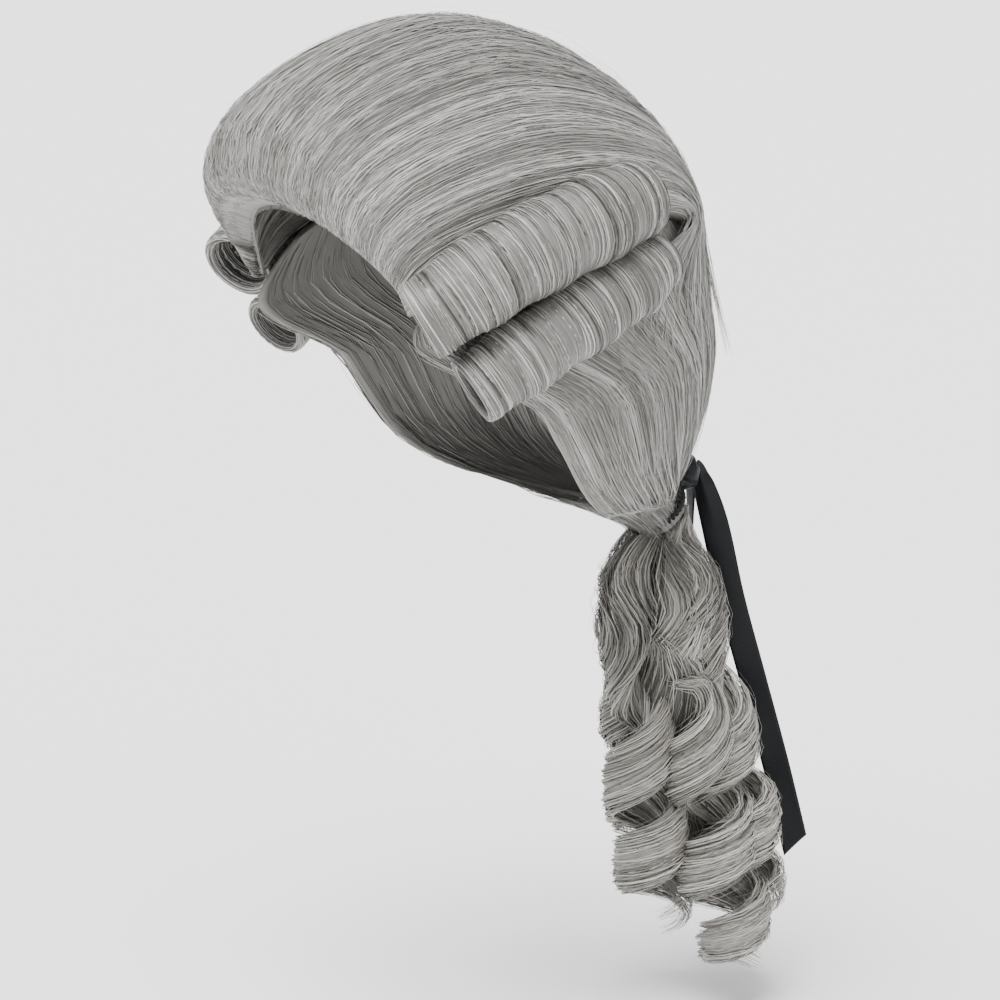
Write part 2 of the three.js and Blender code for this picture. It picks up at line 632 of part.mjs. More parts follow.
for (const { word, places, turn } of tails) {
  const tail = ribbonTail(places, turn, 0).subtract(knotClearance);
  addPiece(`ribbon_tail_${word}`, toGeometry(tail), BLACK_SATIN);
  queueSpace = queueSpace.add(ribbonTail(places, turn, FIT_GAP));
}
addPiece('queue', toGeometry(queue().subtract(queueSpace)), SHADED_HAIR);

export default wig;
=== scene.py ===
"""Looks of a swept-back court wig: combed crown, wound side rolls, nape hair, plaited tie, ribbon and queue.

Forms are worked out in millimetres, in the frame's own axes: +Z up, face opening towards -Y, and the
origin at the inner top of the cap hollow. Meshes are stored in metres.
"""
import math

import bpy
import numpy as np
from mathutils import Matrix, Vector


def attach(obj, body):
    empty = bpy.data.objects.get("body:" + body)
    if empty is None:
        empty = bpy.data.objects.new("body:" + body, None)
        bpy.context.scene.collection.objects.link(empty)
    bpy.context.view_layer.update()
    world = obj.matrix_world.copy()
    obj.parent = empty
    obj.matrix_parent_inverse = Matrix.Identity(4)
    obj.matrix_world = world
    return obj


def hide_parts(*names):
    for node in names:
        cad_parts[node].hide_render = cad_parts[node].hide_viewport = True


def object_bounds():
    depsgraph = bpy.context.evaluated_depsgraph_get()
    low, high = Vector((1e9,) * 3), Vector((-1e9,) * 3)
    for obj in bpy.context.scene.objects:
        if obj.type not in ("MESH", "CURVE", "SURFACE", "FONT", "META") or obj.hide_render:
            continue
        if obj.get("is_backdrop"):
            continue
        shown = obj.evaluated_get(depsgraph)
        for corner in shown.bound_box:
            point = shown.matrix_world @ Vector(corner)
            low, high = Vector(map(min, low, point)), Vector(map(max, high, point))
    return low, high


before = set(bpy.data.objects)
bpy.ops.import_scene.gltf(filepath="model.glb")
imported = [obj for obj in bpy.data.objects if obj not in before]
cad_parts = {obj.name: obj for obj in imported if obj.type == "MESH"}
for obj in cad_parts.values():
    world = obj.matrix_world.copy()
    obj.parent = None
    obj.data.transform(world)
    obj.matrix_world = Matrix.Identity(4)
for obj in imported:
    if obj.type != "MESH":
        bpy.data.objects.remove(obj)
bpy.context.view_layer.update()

bl_info = {
    "name": "Court wig with side rolls and a tied queue",
    "version": (1, 0, 0),
    "blender": (4, 5, 0),
    "location": "3D View > Sidebar > Wig",
    "description": "Models the hair, the tie and the ribbon of a court wig, piece by piece",
    "category": "Object",
}

MM = 0.001
ROOT = "root"
HAIR_SLOT = "hair"
ROLL_SLOT = "rolled_hair"
CURL_SLOT = "curled_hair"
BRAID_SLOT = "braid"
RIBBON_SLOT = "ribbon"

# Cap hollow and hair walls.
HALF_LENGTH = 97.5
HALF_WIDTH = 76.0
HOLLOW_DEPTH = 100.0
HOLLOW_SQUARENESS = 2.3
LIP_WALL = 3.5
CROWN_WALL = 33.0
BACK_WALL = 12.0
COMB_RELIEF = 1.1
CROWN_COMBS = 15
NAPE_COMBS = 13

# Side rolls.
ROLL_WALL = 4.5
ROLL_SPAN = 110.0
ROLL_BED = 2.0
RIGHT_ROLL_SETBACK = 12.0
ROLL_RIBS = 4
ROLL_RIB_RELIEF = 0.7

# Gather and tie.
TIE_TILT = math.radians(40)
GATHER_RADIUS = 12.5
GATHER_WALL = 5.0
GATHER_LENGTH = 18.0
TIE_WALL = 3.5
TIE_HEIGHT = 11.0
TIE_PLAITS = 12
PIECE_GAP = 0.3

# Queue.
QUEUE_LENGTH = 224.0
QUEUE_LEAN = 40.0
QUEUE_SWING = 1.35
QUEUE_SPREAD = 22.0
LOCK_WIDTH = 23.0
LOCK_THICKNESS = 12.0
CURL_RADIUS = 12.0
CURL_GATHERING = 1.9

# Ribbon.
KNOT_SIZE = 18.0
KNOT_SEAT = 0.27
RIBBON_WIDTH = 13.0
RIBBON_FALL = 200.0
RIBBON_END_SLANT = 0.35
LEFT_TAIL_TURN = 0.9
RIGHT_TAIL_TURN = -0.5

X_AXIS = np.array([1.0, 0.0, 0.0])
Z_AXIS = np.array([0.0, 0.0, 1.0])
GATHER_AXIS = np.array([0.0, math.sin(TIE_TILT), -math.cos(TIE_TILT)])
GATHER_BACK = np.array([0.0, math.cos(TIE_TILT), math.sin(TIE_TILT)])
TIE_CENTRE = np.array([0.0, 108.0, -210.0])
TIE_DROP = 210.0
HOLLOW_CENTRE = np.array([0.0, 0.0, -HOLLOW_DEPTH])
KNOT_CENTRE = TIE_CENTRE + GATHER_BACK * (GATHER_RADIUS + TIE_WALL + KNOT_SIZE * KNOT_SEAT)

# Crown sections from the hairline to the upper back. back and side_back are shares of HALF_LENGTH, drop and
# side_drop of HOLLOW_DEPTH, width of HALF_WIDTH and wall of the hair's whole depth.
CROWN = ("back drop side_back side_drop width wall fullness", (
    (-0.985, 0.50, -0.705, 0.93, 0.85, 1, 0.88),
    (-1.09, 0.47, -0.685, 0.915, 0.87, 1, 0.9),
    (-1.17, 0.36, -0.655, 0.89, 0.90, 1, 0.92),
    (-1.12, 0.16, -0.61, 0.85, 0.93, 1, 0.95),
    (-0.89, -0.03, -0.50, 0.79, 0.97, 1, 0.97),
    (-0.52, -0.175, -0.32, 0.72, 1.01, 1, 1),
    (-0.12, -0.235, -0.06, 0.66, 1.04, 1, 1),
    (0.27, -0.16, 0.20, 0.61, 1.04, 0.9, 1),
    (0.60, 0.00, 0.44, 0.58, 1.00, 0.6, 1),
    (0.84, 0.19, 0.64, 0.58, 0.92, 0.4, 1),
    (0.98, 0.40, 0.80, 0.62, 0.81, 0.25, 1),
    (1.08, 0.64, 0.92, 0.70, 0.70, 0.15, 1),
))

# Nape sections from under the crown to the gather. back and mid_back are shares of HALF_LENGTH, drop and
# mid_drop of TIE_DROP, width of HALF_WIDTH, sweep of a half turn and wall of BACK_WALL.
NAPE = ("back drop mid_back mid_drop width sweep wall", (
    (0.80, 0.190, -0.02, 0.305, 1.00, 0.70, 1.0),
    (1.02, 0.290, 0.00, 0.380, 1.04, 0.71, 1.0),
    (1.19, 0.400, 0.02, 0.466, 1.06, 0.71, 1.0),
    (1.27, 0.514, 0.04, 0.552, 1.07, 0.65, 1.0),
    (1.29, 0.619, 0.05, 0.638, 1.07, 0.56, 1.0),
    (1.26, 0.724, 0.06, 0.743, 1.05, 0.52, 0.9),
    (1.20, 0.819, 0.10, 0.843, 1.00, 0.49, 0.8),
    (1.15, 0.890, 0.31, 0.914, 0.82, 0.49, 0.7),
    (1.12, 0.935, 0.66, 0.950, 0.52, 0.54, 0.55),
))

# Roll stations from the front end to the rear end, as shares of HALF_LENGTH, HOLLOW_DEPTH and the diameter.
ROLLS = {
    "upper": (37.5, ("back drop size", (
        (-0.77, 0.93, 0.93), (-0.54, 0.78, 1.00), (-0.26, 0.65, 1.02), (0.07, 0.55, 1.00),
        (0.33, 0.49, 0.93)))),
    "lower": (32.0, ("back drop size", (
        (-0.55, 1.24, 0.96), (-0.32, 1.10, 1.02), (-0.02, 0.95, 1.04), (0.27, 0.83, 0.98),
        (0.44, 0.76, 0.80)))),
}

# Queue locks: turn in degrees round the queue, 0 at the back and 90 at the left side; spread, length, curl
# and width as shares; coils and the first curl's direction in turns.
QUEUE_LOCKS = (
    (58, 0.88, 0.87, 1.15, 1.10, 3.4, 0.10),
    (108, 0.95, 1.00, 1.20, 1.15, 3.6, 0.42),
    (176, 1.35, 0.88, 1.10, 1.20, 3.2, 0.20),
    (250, 1.30, 0.84, 1.00, 1.10, 3.1, 0.62),
    (345, 0.78, 0.91, 1.05, 1.10, 3.5, 0.90),
)

# A lock's form along its length: spread, curl, width and thickness, as shares.
LOCK_PROFILE = ("out curl width thickness", (
    (0.25, 0.05, 0.50, 0.70),
    (0.76, 0.20, 1.00, 1.15),
    (0.88, 0.42, 1.10, 1.20),
    (0.91, 0.68, 1.00, 1.10),
    (0.98, 0.92, 0.95, 1.00),
    (1.06, 1.06, 0.95, 0.95),
    (1.10, 1.10, 0.90, 0.85),
    (1.10, 0.95, 0.45, 0.45),
))

# The queue's full middle, from the tie to where the locks hide it: shares of QUEUE_LENGTH and GATHER_RADIUS.
QUEUE_MIDDLE = ("along radius", (
    (0.001, 1.00),
    (0.036, 1.00),
    (0.106, 1.35),
    (0.210, 1.70),
    (0.350, 1.75),
    (0.510, 1.40),
    (0.680, 0.80),
    (0.800, 0.30),
))

# How far round the nape a place across the crown lies, how much more it fans out at the sides, how far down
# the nape the crown ends, and the tufts that flick out there: place across the crown, share of the nape where
# they end, and lift in mm.
CROWN_TO_NAPE = 0.42
CROWN_FAN = 0.32
CROWN_MEETS_NAPE = 0.24
CROWN_FLICKS = (
    (0.62, 0.08, 8.0), (0.55, 0.20, 7.0), (0.60, 0.34, 10.0),
    (-0.30, 0.24, 6.0), (0.10, 0.30, 6.0), (-0.55, 0.14, 6.0),
)

# Ribbon tails from the knot's middle down, as shares of RIBBON_FALL.
TAIL_COLUMNS = "side back drop width"
TAILS = {
    "left": (LEFT_TAIL_TURN, (
        (0.015, 0.030, 0.000, 0.50), (0.020, 0.043, 0.010, 0.55), (0.030, 0.052, 0.045, 0.80),
        (0.046, 0.075, 0.140, 1.00), (0.058, 0.115, 0.315, 1.00), (0.068, 0.175, 0.515, 1.00),
        (0.075, 0.245, 0.740, 1.00), (0.075, 0.310, 0.955, 1.00))),
    "right": (RIGHT_TAIL_TURN, (
        (-0.020, 0.030, 0.010, 0.50), (-0.040, 0.052, 0.025, 0.60), (-0.065, 0.072, 0.070, 0.85),
        (-0.090, 0.100, 0.170, 1.00), (-0.110, 0.140, 0.340, 1.00), (-0.110, 0.185, 0.540, 1.00),
        (-0.100, 0.230, 0.750, 1.00), (-0.095, 0.270, 0.920, 1.00))),
}

# Strands are this thick as a share of their width, more in the curled queue.
STRAND_THICKNESS = 0.3
CURLED_THICKNESS = 0.32

# Strands start on the crown's inner lip, this share of its length round the rim, bulge over it in mm, and are
# this much darker at their roots, as painted shade where they turn in under the rim.
RIM_SHARE = 0.03
RIM_ROUNDING = 2.2
ROOT_PAINTED_SHADE = 0.3

# Height in mm of the loose hair that falls over the tie at each side of the nape, and the half share of the
# way round between the two sides, where the tie shows.
NAPE_DRAPE = 10.5
DRAPE_PARTING = 0.5

# Shares of the nape's table at which the hair is drawn in to the tie and ends in it.
GATHER_START = 1.08
GATHER_END = 1.16

# How far along a lock its packed inside goes, and how the strands of its upper part wave to and fro: how far
# round the lock, in radians, and waves in its whole length.
CORE_REACH = 0.95
LOCK_WAVE = 1.35
LOCK_WAVES = 2.1

# Turns of ribbon wound into the knot: turn round its outside and tilt, in radians, and a share of its size.
KNOT_TURNS = ((0.0, 0.2, 1.1), (1.1, -0.3, 1.05), (2.2, 0.5, 1.0), (0.6, 0.9, 0.92))

# Camera and floor, in metres and degrees.
CAMERA_AZIMUTH = 55.0
CAMERA_ELEVATION = 13.0
CAMERA_DISTANCE = 1.7
CAMERA_TARGET = Vector((0.010, 0.0144, -0.194))
CAMERA_LENS = 136.0
CAMERA_SENSOR = 36.0
FLOOR_GAP = 0.012
FLOOR_SIZE = 14.0


def linear(hex_colour):
    """Linear RGBA of an sRGB hex colour."""
    parts = [int(hex_colour[i:i + 2], 16) / 255 for i in (0, 2, 4)]
    return tuple(c / 12.92 if c <= 0.04045 else ((c + 0.055) / 1.055) ** 2.4 for c in parts) + (1.0,)


def sample(table, share):
    """Each named column of a table at shares of its length, on a smooth curve through its rows."""
    names, rows = table
    rows = np.asarray(rows, float)
    place = np.clip(share, 0, 1) * (len(rows) - 1)
    index = np.minimum(place.astype(int), len(rows) - 2)
    rest = (place - index)[..., None]
    p, q, r, s = (rows[np.clip(index + k, 0, len(rows) - 1)] for k in (-1, 0, 1, 2))
    start, end = (r - p) / 2, (s - q) / 2
    curve = q + rest * (start + rest * (3 * (r - q) - 2 * start - end + rest * (2 * (q - r) + start + end)))
    return dict(zip(names.split(), np.moveaxis(curve, -1, 0)))


def points(x, y, z):
    return np.stack(np.broadcast_arrays(x, y, z), -1).astype(float)


def unit(vectors):
    return vectors / np.maximum(np.linalg.norm(vectors, axis=-1, keepdims=True), 1e-9)


def hollow_measure(point):
    """Below 1 inside the cap hollow, which goes straight down under its widest level."""
    rise = np.maximum(0, point[..., 2] + HOLLOW_DEPTH)
    return (np.abs(point[..., 0] / HALF_WIDTH) ** HOLLOW_SQUARENESS
            + np.abs(point[..., 1] / HALF_LENGTH) ** HOLLOW_SQUARENESS
            + (rise / HOLLOW_DEPTH) ** HOLLOW_SQUARENESS)


def side_reach(y, z, grow):
    """Half width of the hollow, grown all round."""
    used = (np.abs(y / (HALF_LENGTH + grow)) ** HOLLOW_SQUARENESS
            + (np.maximum(0, z + HOLLOW_DEPTH) / (HOLLOW_DEPTH + grow)) ** HOLLOW_SQUARENESS)
    return (HALF_WIDTH + grow) * np.maximum(0, 1 - used) ** (1 / HOLLOW_SQUARENESS)


def hair_depth(point, core):
    """How far points on the hair lie from the hollow on their way to a core point."""
    near = np.zeros(point.shape[:-1])
    far = np.ones(point.shape[:-1])
    for _ in range(18):
        half = (near + far) / 2
        outside = hollow_measure(point + (core - point) * half[..., None]) > 1
        near = np.where(outside, half, near)
        far = np.where(outside, far, half)
    depth = near * np.linalg.norm(point - core, axis=-1)
    depth = np.where(hollow_measure(core) >= 1, np.inf, depth)
    return np.where(hollow_measure(point) <= 1, 0, depth)


def crown_section(share):
    """The crown's half oval at shares of its way from the hairline to the upper back."""
    row = sample(CROWN, share)
    middle = points(0, row["side_back"] * HALF_LENGTH, -row["side_drop"] * HOLLOW_DEPTH)
    top = points(0, row["back"] * HALF_LENGTH, -row["drop"] * HOLLOW_DEPTH)
    same = np.ones_like(share, float)
    return {
        "middle": middle, "reach": top - middle, "half_width": row["width"] * HALF_WIDTH,
        "sweep": same * math.pi / 2, "fullness": row["fullness"], "core": middle * 0 + HOLLOW_CENTRE,
        "least": same * LIP_WALL, "most": row["wall"] * CROWN_WALL,
        "combing": np.sin(math.pi * np.clip(share, 0.08, 0.75)), "combs": same * CROWN_COMBS,
    }


def nape_table_section(share):
    row = sample(NAPE, share)
    middle = points(0, row["mid_back"] * HALF_LENGTH, -row["mid_drop"] * TIE_DROP)
    back = points(0, row["back"] * HALF_LENGTH, -row["drop"] * TIE_DROP)
    same = np.ones_like(share, float)
    return {
        "middle": middle, "reach": back - middle, "half_width": row["width"] * HALF_WIDTH,
        "sweep": row["sweep"] * math.pi, "fullness": same, "core": middle,
        "least": same * LIP_WALL, "most": row["wall"] * BACK_WALL,
        "combing": same, "combs": same * NAPE_COMBS,
    }


def gather_section(along):
    middle = TIE_CENTRE + GATHER_AXIS * (along * GATHER_LENGTH)[..., None]
    same = np.ones_like(along, float)
    return {
        "middle": middle, "reach": middle * 0 + GATHER_BACK * GATHER_RADIUS,
        "half_width": same * GATHER_RADIUS, "sweep": same * math.pi * 0.95, "fullness": same,
        "core": middle, "least": same * GATHER_WALL, "most": same * GATHER_WALL,
        "combing": same * 0, "combs": same * NAPE_COMBS,
    }


def nape_section(share):
    """The nape's section, and past share 1 the gathered end that goes through the tie."""
    wide = nape_table_section(share)
    along = np.clip((share - GATHER_START) / (GATHER_END - GATHER_START), 0, 1) - 0.5
    narrow = gather_section(along)
    mix = np.clip((share - 1) / (GATHER_START - 1), 0, 1)
    section = {}
    for key, value in wide.items():
        part = mix[..., None] if value.ndim > mix.ndim else mix
        section[key] = value + (narrow[key] - value) * part
    return section


def mat_point(section, across, lift=0.0, inner=0.0):
    """Points on a hair mat, across from -1 to 1: lift mm out from its outer face, or that share of the way
    in to its inner face. Also the direction out."""
    angle = across * section["sweep"]
    full = lambda value: np.sign(value) * np.abs(value) ** section["fullness"]
    point = (section["middle"] + section["reach"] * full(np.cos(angle))[..., None]
             + X_AXIS * (section["half_width"] * full(np.sin(angle)))[..., None])
    outward = unit(point - section["core"])
    most = np.maximum(section["least"], section["most"])
    depth = np.clip(hair_depth(point, section["core"]), section["least"], most)
    comb = COMB_RELIEF * np.cos(math.pi * section["combs"] * across) * section["combing"]
    raised = comb * (1 - inner) - depth * inner + lift
    return point + outward * raised[..., None], outward


def roll_line(stations, diameter, side, share):
    """Centre and direction of a side roll at shares of its length, laid on the hair beside the hollow."""
    def centre_at(value):
        row = sample(stations, value)
        y = row["back"] * HALF_LENGTH + (RIGHT_ROLL_SETBACK if side < 0 else 0)
        z = -row["drop"] * HOLLOW_DEPTH
        return points(side * side_reach(y, z, ROLL_BED + diameter / 2), y, z)
    step = 0.01
    along = unit(centre_at(np.clip(share + step, 0, 1)) - centre_at(np.clip(share - step, 0, 1)))
    beyond = (share - np.clip(share, 0, 1)) * ROLL_SPAN
    return centre_at(share) + along * beyond[..., None], along


def roll_point(stations, diameter, side, share, angle, sink):
    """A point round a side roll at an angle, that many mm in from its outside, and the direction out."""
    centre, along = roll_line(stations, diameter, side, share)
    out = unit(np.cross(along, Z_AXIS))
    over = np.cross(out, along)
    rib = ROLL_RIB_RELIEF * np.cos(2 * math.pi * ROLL_RIBS * share)
    radius = sample(stations, share)["size"] * diameter / 2 - sink + rib
    normal = out * np.cos(angle)[..., None] + over * np.sin(angle)[..., None]
    return centre + normal * radius[..., None], normal


def queue_axis(share):
    start = TIE_CENTRE + GATHER_AXIS * (GATHER_LENGTH / 2 + PIECE_GAP)
    return start + points(0, QUEUE_LEAN * np.maximum(share, 0) ** QUEUE_SWING, -QUEUE_LENGTH * share)


def lock_frame(lock, share):
    """Centre, width direction, face direction, half width and half thickness of a lock along its length."""
    turn, spread, length, curl, width, coils, phase = lock
    outward = np.array([math.sin(math.radians(turn)), math.cos(math.radians(turn)), 0])

    def swirl(value):
        angle = 2 * math.pi * (phase + coils * value ** CURL_GATHERING)
        return points(np.sin(angle), np.cos(angle), 0)

    def place(value):
        form = sample(LOCK_PROFILE, value)
        return (queue_axis(value * length) + outward * (QUEUE_SPREAD * spread * form["out"])[..., None]
                + swirl(value) * (CURL_RADIUS * curl * form["curl"])[..., None])
    form = sample(LOCK_PROFILE, share)
    step = 0.005
    along = unit(place(np.clip(share + step, 0, 1)) - place(np.clip(share - step, 0, 1)))
    face = outward + (swirl(share) - outward) * np.clip(form["curl"], 0, 1)[..., None]
    face = unit(face - along * np.sum(face * along, -1, keepdims=True))
    wide = np.cross(face, along)
    half_width = LOCK_WIDTH / 2 * width * form["width"]
    half_thick = LOCK_THICKNESS / 2 * form["thickness"]
    return place(share), wide, face, half_width, half_thick


# Helpers that add, shape and finish a mesh.

def add_primitive(add, name, **settings):
    """Adds a primitive with nothing else selected."""
    bpy.ops.object.select_all(action="DESELECT")
    add(**settings)
    obj = bpy.context.object
    obj.name = name
    obj.data.name = name
    return obj


def vertex_places(obj):
    places = np.empty(len(obj.data.vertices) * 3)
    obj.data.vertices.foreach_get("co", places)
    return places.reshape(-1, 3)


def place_vertices(obj, places_mm):
    """Moves every vertex to its place, given in mm."""
    obj.data.vertices.foreach_set("co", (places_mm * MM).ravel())
    obj.data.update()


def scale_fibre_map(obj, across_mm, along_mm):
    """Names the UV map and stretches it to mm: across the fibres and along them."""
    layer = obj.data.uv_layers[0]
    layer.name = "fibre"
    uv = np.empty(len(obj.data.loops) * 2)
    layer.data.foreach_get("uv", uv)
    layer.data.foreach_set("uv", (uv.reshape(-1, 2) * (across_mm, along_mm)).ravel())


def turn_fibre_map(obj, across_mm, along_mm):
    """As scale_fibre_map, for a map whose second direction runs across the fibres."""
    scale_fibre_map(obj, 1, 1)
    layer = obj.data.uv_layers[0]
    uv = np.empty(len(obj.data.loops) * 2)
    layer.data.foreach_get("uv", uv)
    layer.data.foreach_set("uv", (uv.reshape(-1, 2)[:, ::-1] * (across_mm, along_mm)).ravel())


def set_tone(obj, tone):
    """How light each vertex's fibres are, from 0 to 1."""
    attribute = obj.data.attributes.new("tone", "FLOAT", "POINT")
    attribute.data.foreach_set("value", np.broadcast_to(tone, len(obj.data.vertices)).astype(np.float32))


def edit(obj, *steps):
    """Runs edit mode operators on a whole mesh. Each step is an operator and its settings."""
    bpy.ops.object.select_all(action="DESELECT")
    obj.select_set(True)
    bpy.context.view_layer.objects.active = obj
    bpy.ops.object.mode_set(mode="EDIT")
    for operator, settings in steps:
        operator(**settings)
    bpy.ops.object.mode_set(mode="OBJECT")


def face_outwards(obj):
    edit(obj, (bpy.ops.mesh.select_all, {"action": "SELECT"}),
         (bpy.ops.mesh.normals_make_consistent, {"inside": False}))


def add_ring(name, along, around):
    """A ring to be laid in place, and each vertex's turn round its large and its small circle."""
    ring = add_primitive(bpy.ops.mesh.primitive_torus_add, name, major_segments=along, minor_segments=around,
                         major_radius=2, minor_radius=1, generate_uvs=True)
    flat = vertex_places(ring)
    off_middle = np.hypot(flat[:, 0], flat[:, 1]) - 2
    return ring, np.arctan2(flat[:, 1], flat[:, 0]), np.arctan2(flat[:, 2], off_middle)


def ease(value):
    """From 0 to 1 with a soft start and end."""
    value = np.clip(value, 0, 1)
    return value * value * (3 - 2 * value)


def join(objects, name):
    bpy.ops.object.select_all(action="DESELECT")
    for obj in objects:
        obj.select_set(True)
    bpy.context.view_layer.objects.active = objects[0]
    if len(objects) > 1:
        bpy.ops.object.join()
    obj = bpy.context.object
    obj.name = name
    obj.data.name = name
    return obj


def apply_modifier(obj, kind, **settings):
    bpy.context.view_layer.objects.active = obj
    modifier = obj.modifiers.new(kind.title(), kind)
    for key, value in settings.items():
        setattr(modifier, key, value)
    bpy.ops.object.modifier_apply(modifier=modifier.name)


def finish_piece(obj, material, slot, *nodes):
    """Smooth faces, the material, the body it rides on and the nodes that it stands for. slot is not used."""
    bpy.ops.object.select_all(action="DESELECT")
    obj.select_set(True)
    bpy.context.view_layer.objects.active = obj
    bpy.ops.object.shade_smooth()
    obj.data.materials.clear()
    obj.data.materials.append(material)
    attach(obj, ROOT)
    if nodes:
        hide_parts(*nodes)
    return obj


def strands(name, paths, normals, width, thick, tone, rng):
    """Many strands as one mesh. Each is a closed three-sided tube along its path, thinner at both ends.
    paths and normals have one row per strand, in mm; width and thick have one value per strand, and tone
    has one per strand or one per point."""
    count, steps = paths.shape[:2]
    share = np.linspace(0, 1, steps)
    taper = np.clip(np.minimum((share + 0.03) * 9, (1 - share) * 5 + 0.12), 0, 1)
    along = unit(np.gradient(paths, axis=1))
    side = unit(np.cross(along, normals))
    up = np.cross(side, along)
    half = (width[:, None] / 2 * taper)[..., None]
    rise = (thick[:, None] * taper)[..., None]
    corners = np.stack([paths - side * half, paths + side * half, paths + up * rise], axis=2)
    ring = (np.arange(count)[:, None] * steps + np.arange(steps - 1)) * 3
    quads = np.stack([np.stack([ring + k, ring + (k + 1) % 3, ring + 3 + (k + 1) % 3, ring + 3 + k], -1)
                      for k in range(3)], axis=2).reshape(-1, 4)
    first = np.arange(count) * steps * 3
    last = first + (steps - 1) * 3
    caps = np.concatenate([np.stack([first + 2, first + 1, first], -1),
                           np.stack([last, last + 1, last + 2], -1)])
    mesh = bpy.data.meshes.new(name)
    loops = np.concatenate([quads.ravel(), caps.ravel()])
    starts = np.concatenate([np.arange(len(quads)) * 4, len(quads) * 4 + np.arange(len(caps)) * 3])
    mesh.vertices.add(count * steps * 3)
    mesh.vertices.foreach_set("co", (corners * MM).ravel())
    mesh.loops.add(len(loops))
    mesh.loops.foreach_set("vertex_index", loops.astype(np.int32))
    mesh.polygons.add(len(starts))
    mesh.polygons.foreach_set("loop_start", starts.astype(np.int32))
    mesh.update(calc_edges=True)
    distance = np.cumsum(np.linalg.norm(np.diff(paths, axis=1, prepend=paths[:, :1]), axis=-1), axis=1)
    uv = np.empty((count, steps, 3, 2))
    uv[..., 0] = rng.uniform(0, 500, count)[:, None, None] + np.array([0, 0.4, 0.2])
    uv[..., 1] = distance[..., None]
    layer = mesh.uv_layers.new(name="fibre")
    layer.data.foreach_set("uv", uv.reshape(-1, 2)[loops].ravel())
    attribute = mesh.attributes.new("tone", "FLOAT", "POINT")
    levels = np.broadcast_to(tone[:, None] if tone.ndim == 1 else tone, (count, steps))
    attribute.data.foreach_set("value", np.repeat(levels.ravel(), 3).astype(np.float32))
    obj = bpy.data.objects.new(name, mesh)
    bpy.context.scene.collection.objects.link(obj)
    return obj


# Materials.

def add_node(material, kind, inputs=None, **settings):
    """Adds a node. inputs maps an input's name or number to a value or to another node's output."""
    node = material.node_tree.nodes.new(kind)
    for key, value in settings.items():
        setattr(node, key, value)
    for key, value in (inputs or {}).items():
        if isinstance(value, bpy.types.NodeSocket):
            material.node_tree.links.new(value, node.inputs[key])
        else:
            node.inputs[key].default_value = value
    return node


def new_material(name):
    """An empty node material with its shader."""
    material = bpy.data.materials.new(name)
    material.use_nodes = True
    return material, material.node_tree.nodes["Principled BSDF"]


def set_ramp(node, *stops):
    """Colours of a ramp, as pairs of place and hex."""
    ramp = node.color_ramp
    while len(ramp.elements) < len(stops):
        ramp.elements.new(0.5)
    for element, (place, colour) in zip(ramp.elements, stops):
        element.position = place
        element.color = linear(colour)


def hair_material(name, dark, middle, light, fibre_mm=0.22, wave_mm=24.0):
    """Modacrylic fibre, spun and combed: soft lengthwise glints, and streaks of lighter and darker fibre."""
    material, shader = new_material(name)
    fibre = add_node(material, "ShaderNodeUVMap", uv_map="fibre")
    streak_map = add_node(material, "ShaderNodeMapping", {
        "Vector": fibre.outputs["UV"], "Scale": (1 / fibre_mm, 1 / wave_mm, 1)})
    streak = add_node(material, "ShaderNodeTexNoise", {
        "Vector": streak_map.outputs["Vector"], "Scale": 1.0, "Detail": 3.0, "Roughness": 0.6})
    tone = add_node(material, "ShaderNodeAttribute", attribute_name="tone")
    streak_part = add_node(material, "ShaderNodeMath", {
        0: streak.outputs["Fac"], 1: 0.34}, operation="MULTIPLY")
    blend = add_node(material, "ShaderNodeMath", {
        0: tone.outputs["Fac"], 1: 0.86, 2: streak_part.outputs[0]}, operation="MULTIPLY_ADD")
    ramp = add_node(material, "ShaderNodeValToRGB", {"Fac": blend.outputs[0]})
    set_ramp(ramp, (0.25, dark), (0.58, middle), (0.9, light))
    roughness = add_node(material, "ShaderNodeMapRange", {
        "Value": streak.outputs["Fac"], "To Min": 0.36, "To Max": 0.54})
    bump = add_node(material, "ShaderNodeBump", {
        "Height": streak.outputs["Fac"], "Strength": 0.5, "Distance": 0.15 * MM})
    links = material.node_tree.links
    links.new(ramp.outputs["Color"], shader.inputs["Base Color"])
    links.new(roughness.outputs["Result"], shader.inputs["Roughness"])
    links.new(bump.outputs["Normal"], shader.inputs["Normal"])
    shader.inputs["IOR"].default_value = 1.5
    shader.inputs["Specular IOR Level"].default_value = 0.45
    return material


def ribbon_material(name, colour, painted_glint):
    """Polyester grosgrain, woven with fine crosswise ribs in the bump; each rib carries a thin lighter line in
    the base colour, a painted highlight.
    """
    material, shader = new_material(name)
    weave = add_node(material, "ShaderNodeUVMap", uv_map="fibre")
    turned = add_node(material, "ShaderNodeMapping", {
        "Vector": weave.outputs["UV"], "Scale": (0.2, 1.0, 1.0)})
    rib = add_node(material, "ShaderNodeTexWave", {
        "Vector": turned.outputs["Vector"], "Scale": 0.45, "Distortion": 0.3, "Detail": 1.0},
        bands_direction="Y")
    ramp = add_node(material, "ShaderNodeValToRGB", {"Fac": rib.outputs["Fac"]})
    # Painted highlight: the ribs' crests take the lighter second colour.
    set_ramp(ramp, (0.2, colour), (0.95, painted_glint))
    bump = add_node(material, "ShaderNodeBump", {
        "Height": rib.outputs["Fac"], "Strength": 0.35, "Distance": 0.1 * MM})
    links = material.node_tree.links
    links.new(ramp.outputs["Color"], shader.inputs["Base Color"])
    links.new(bump.outputs["Normal"], shader.inputs["Normal"])
    shader.inputs["Roughness"].default_value = 0.5
    shader.inputs["Specular IOR Level"].default_value = 0.16
    return material


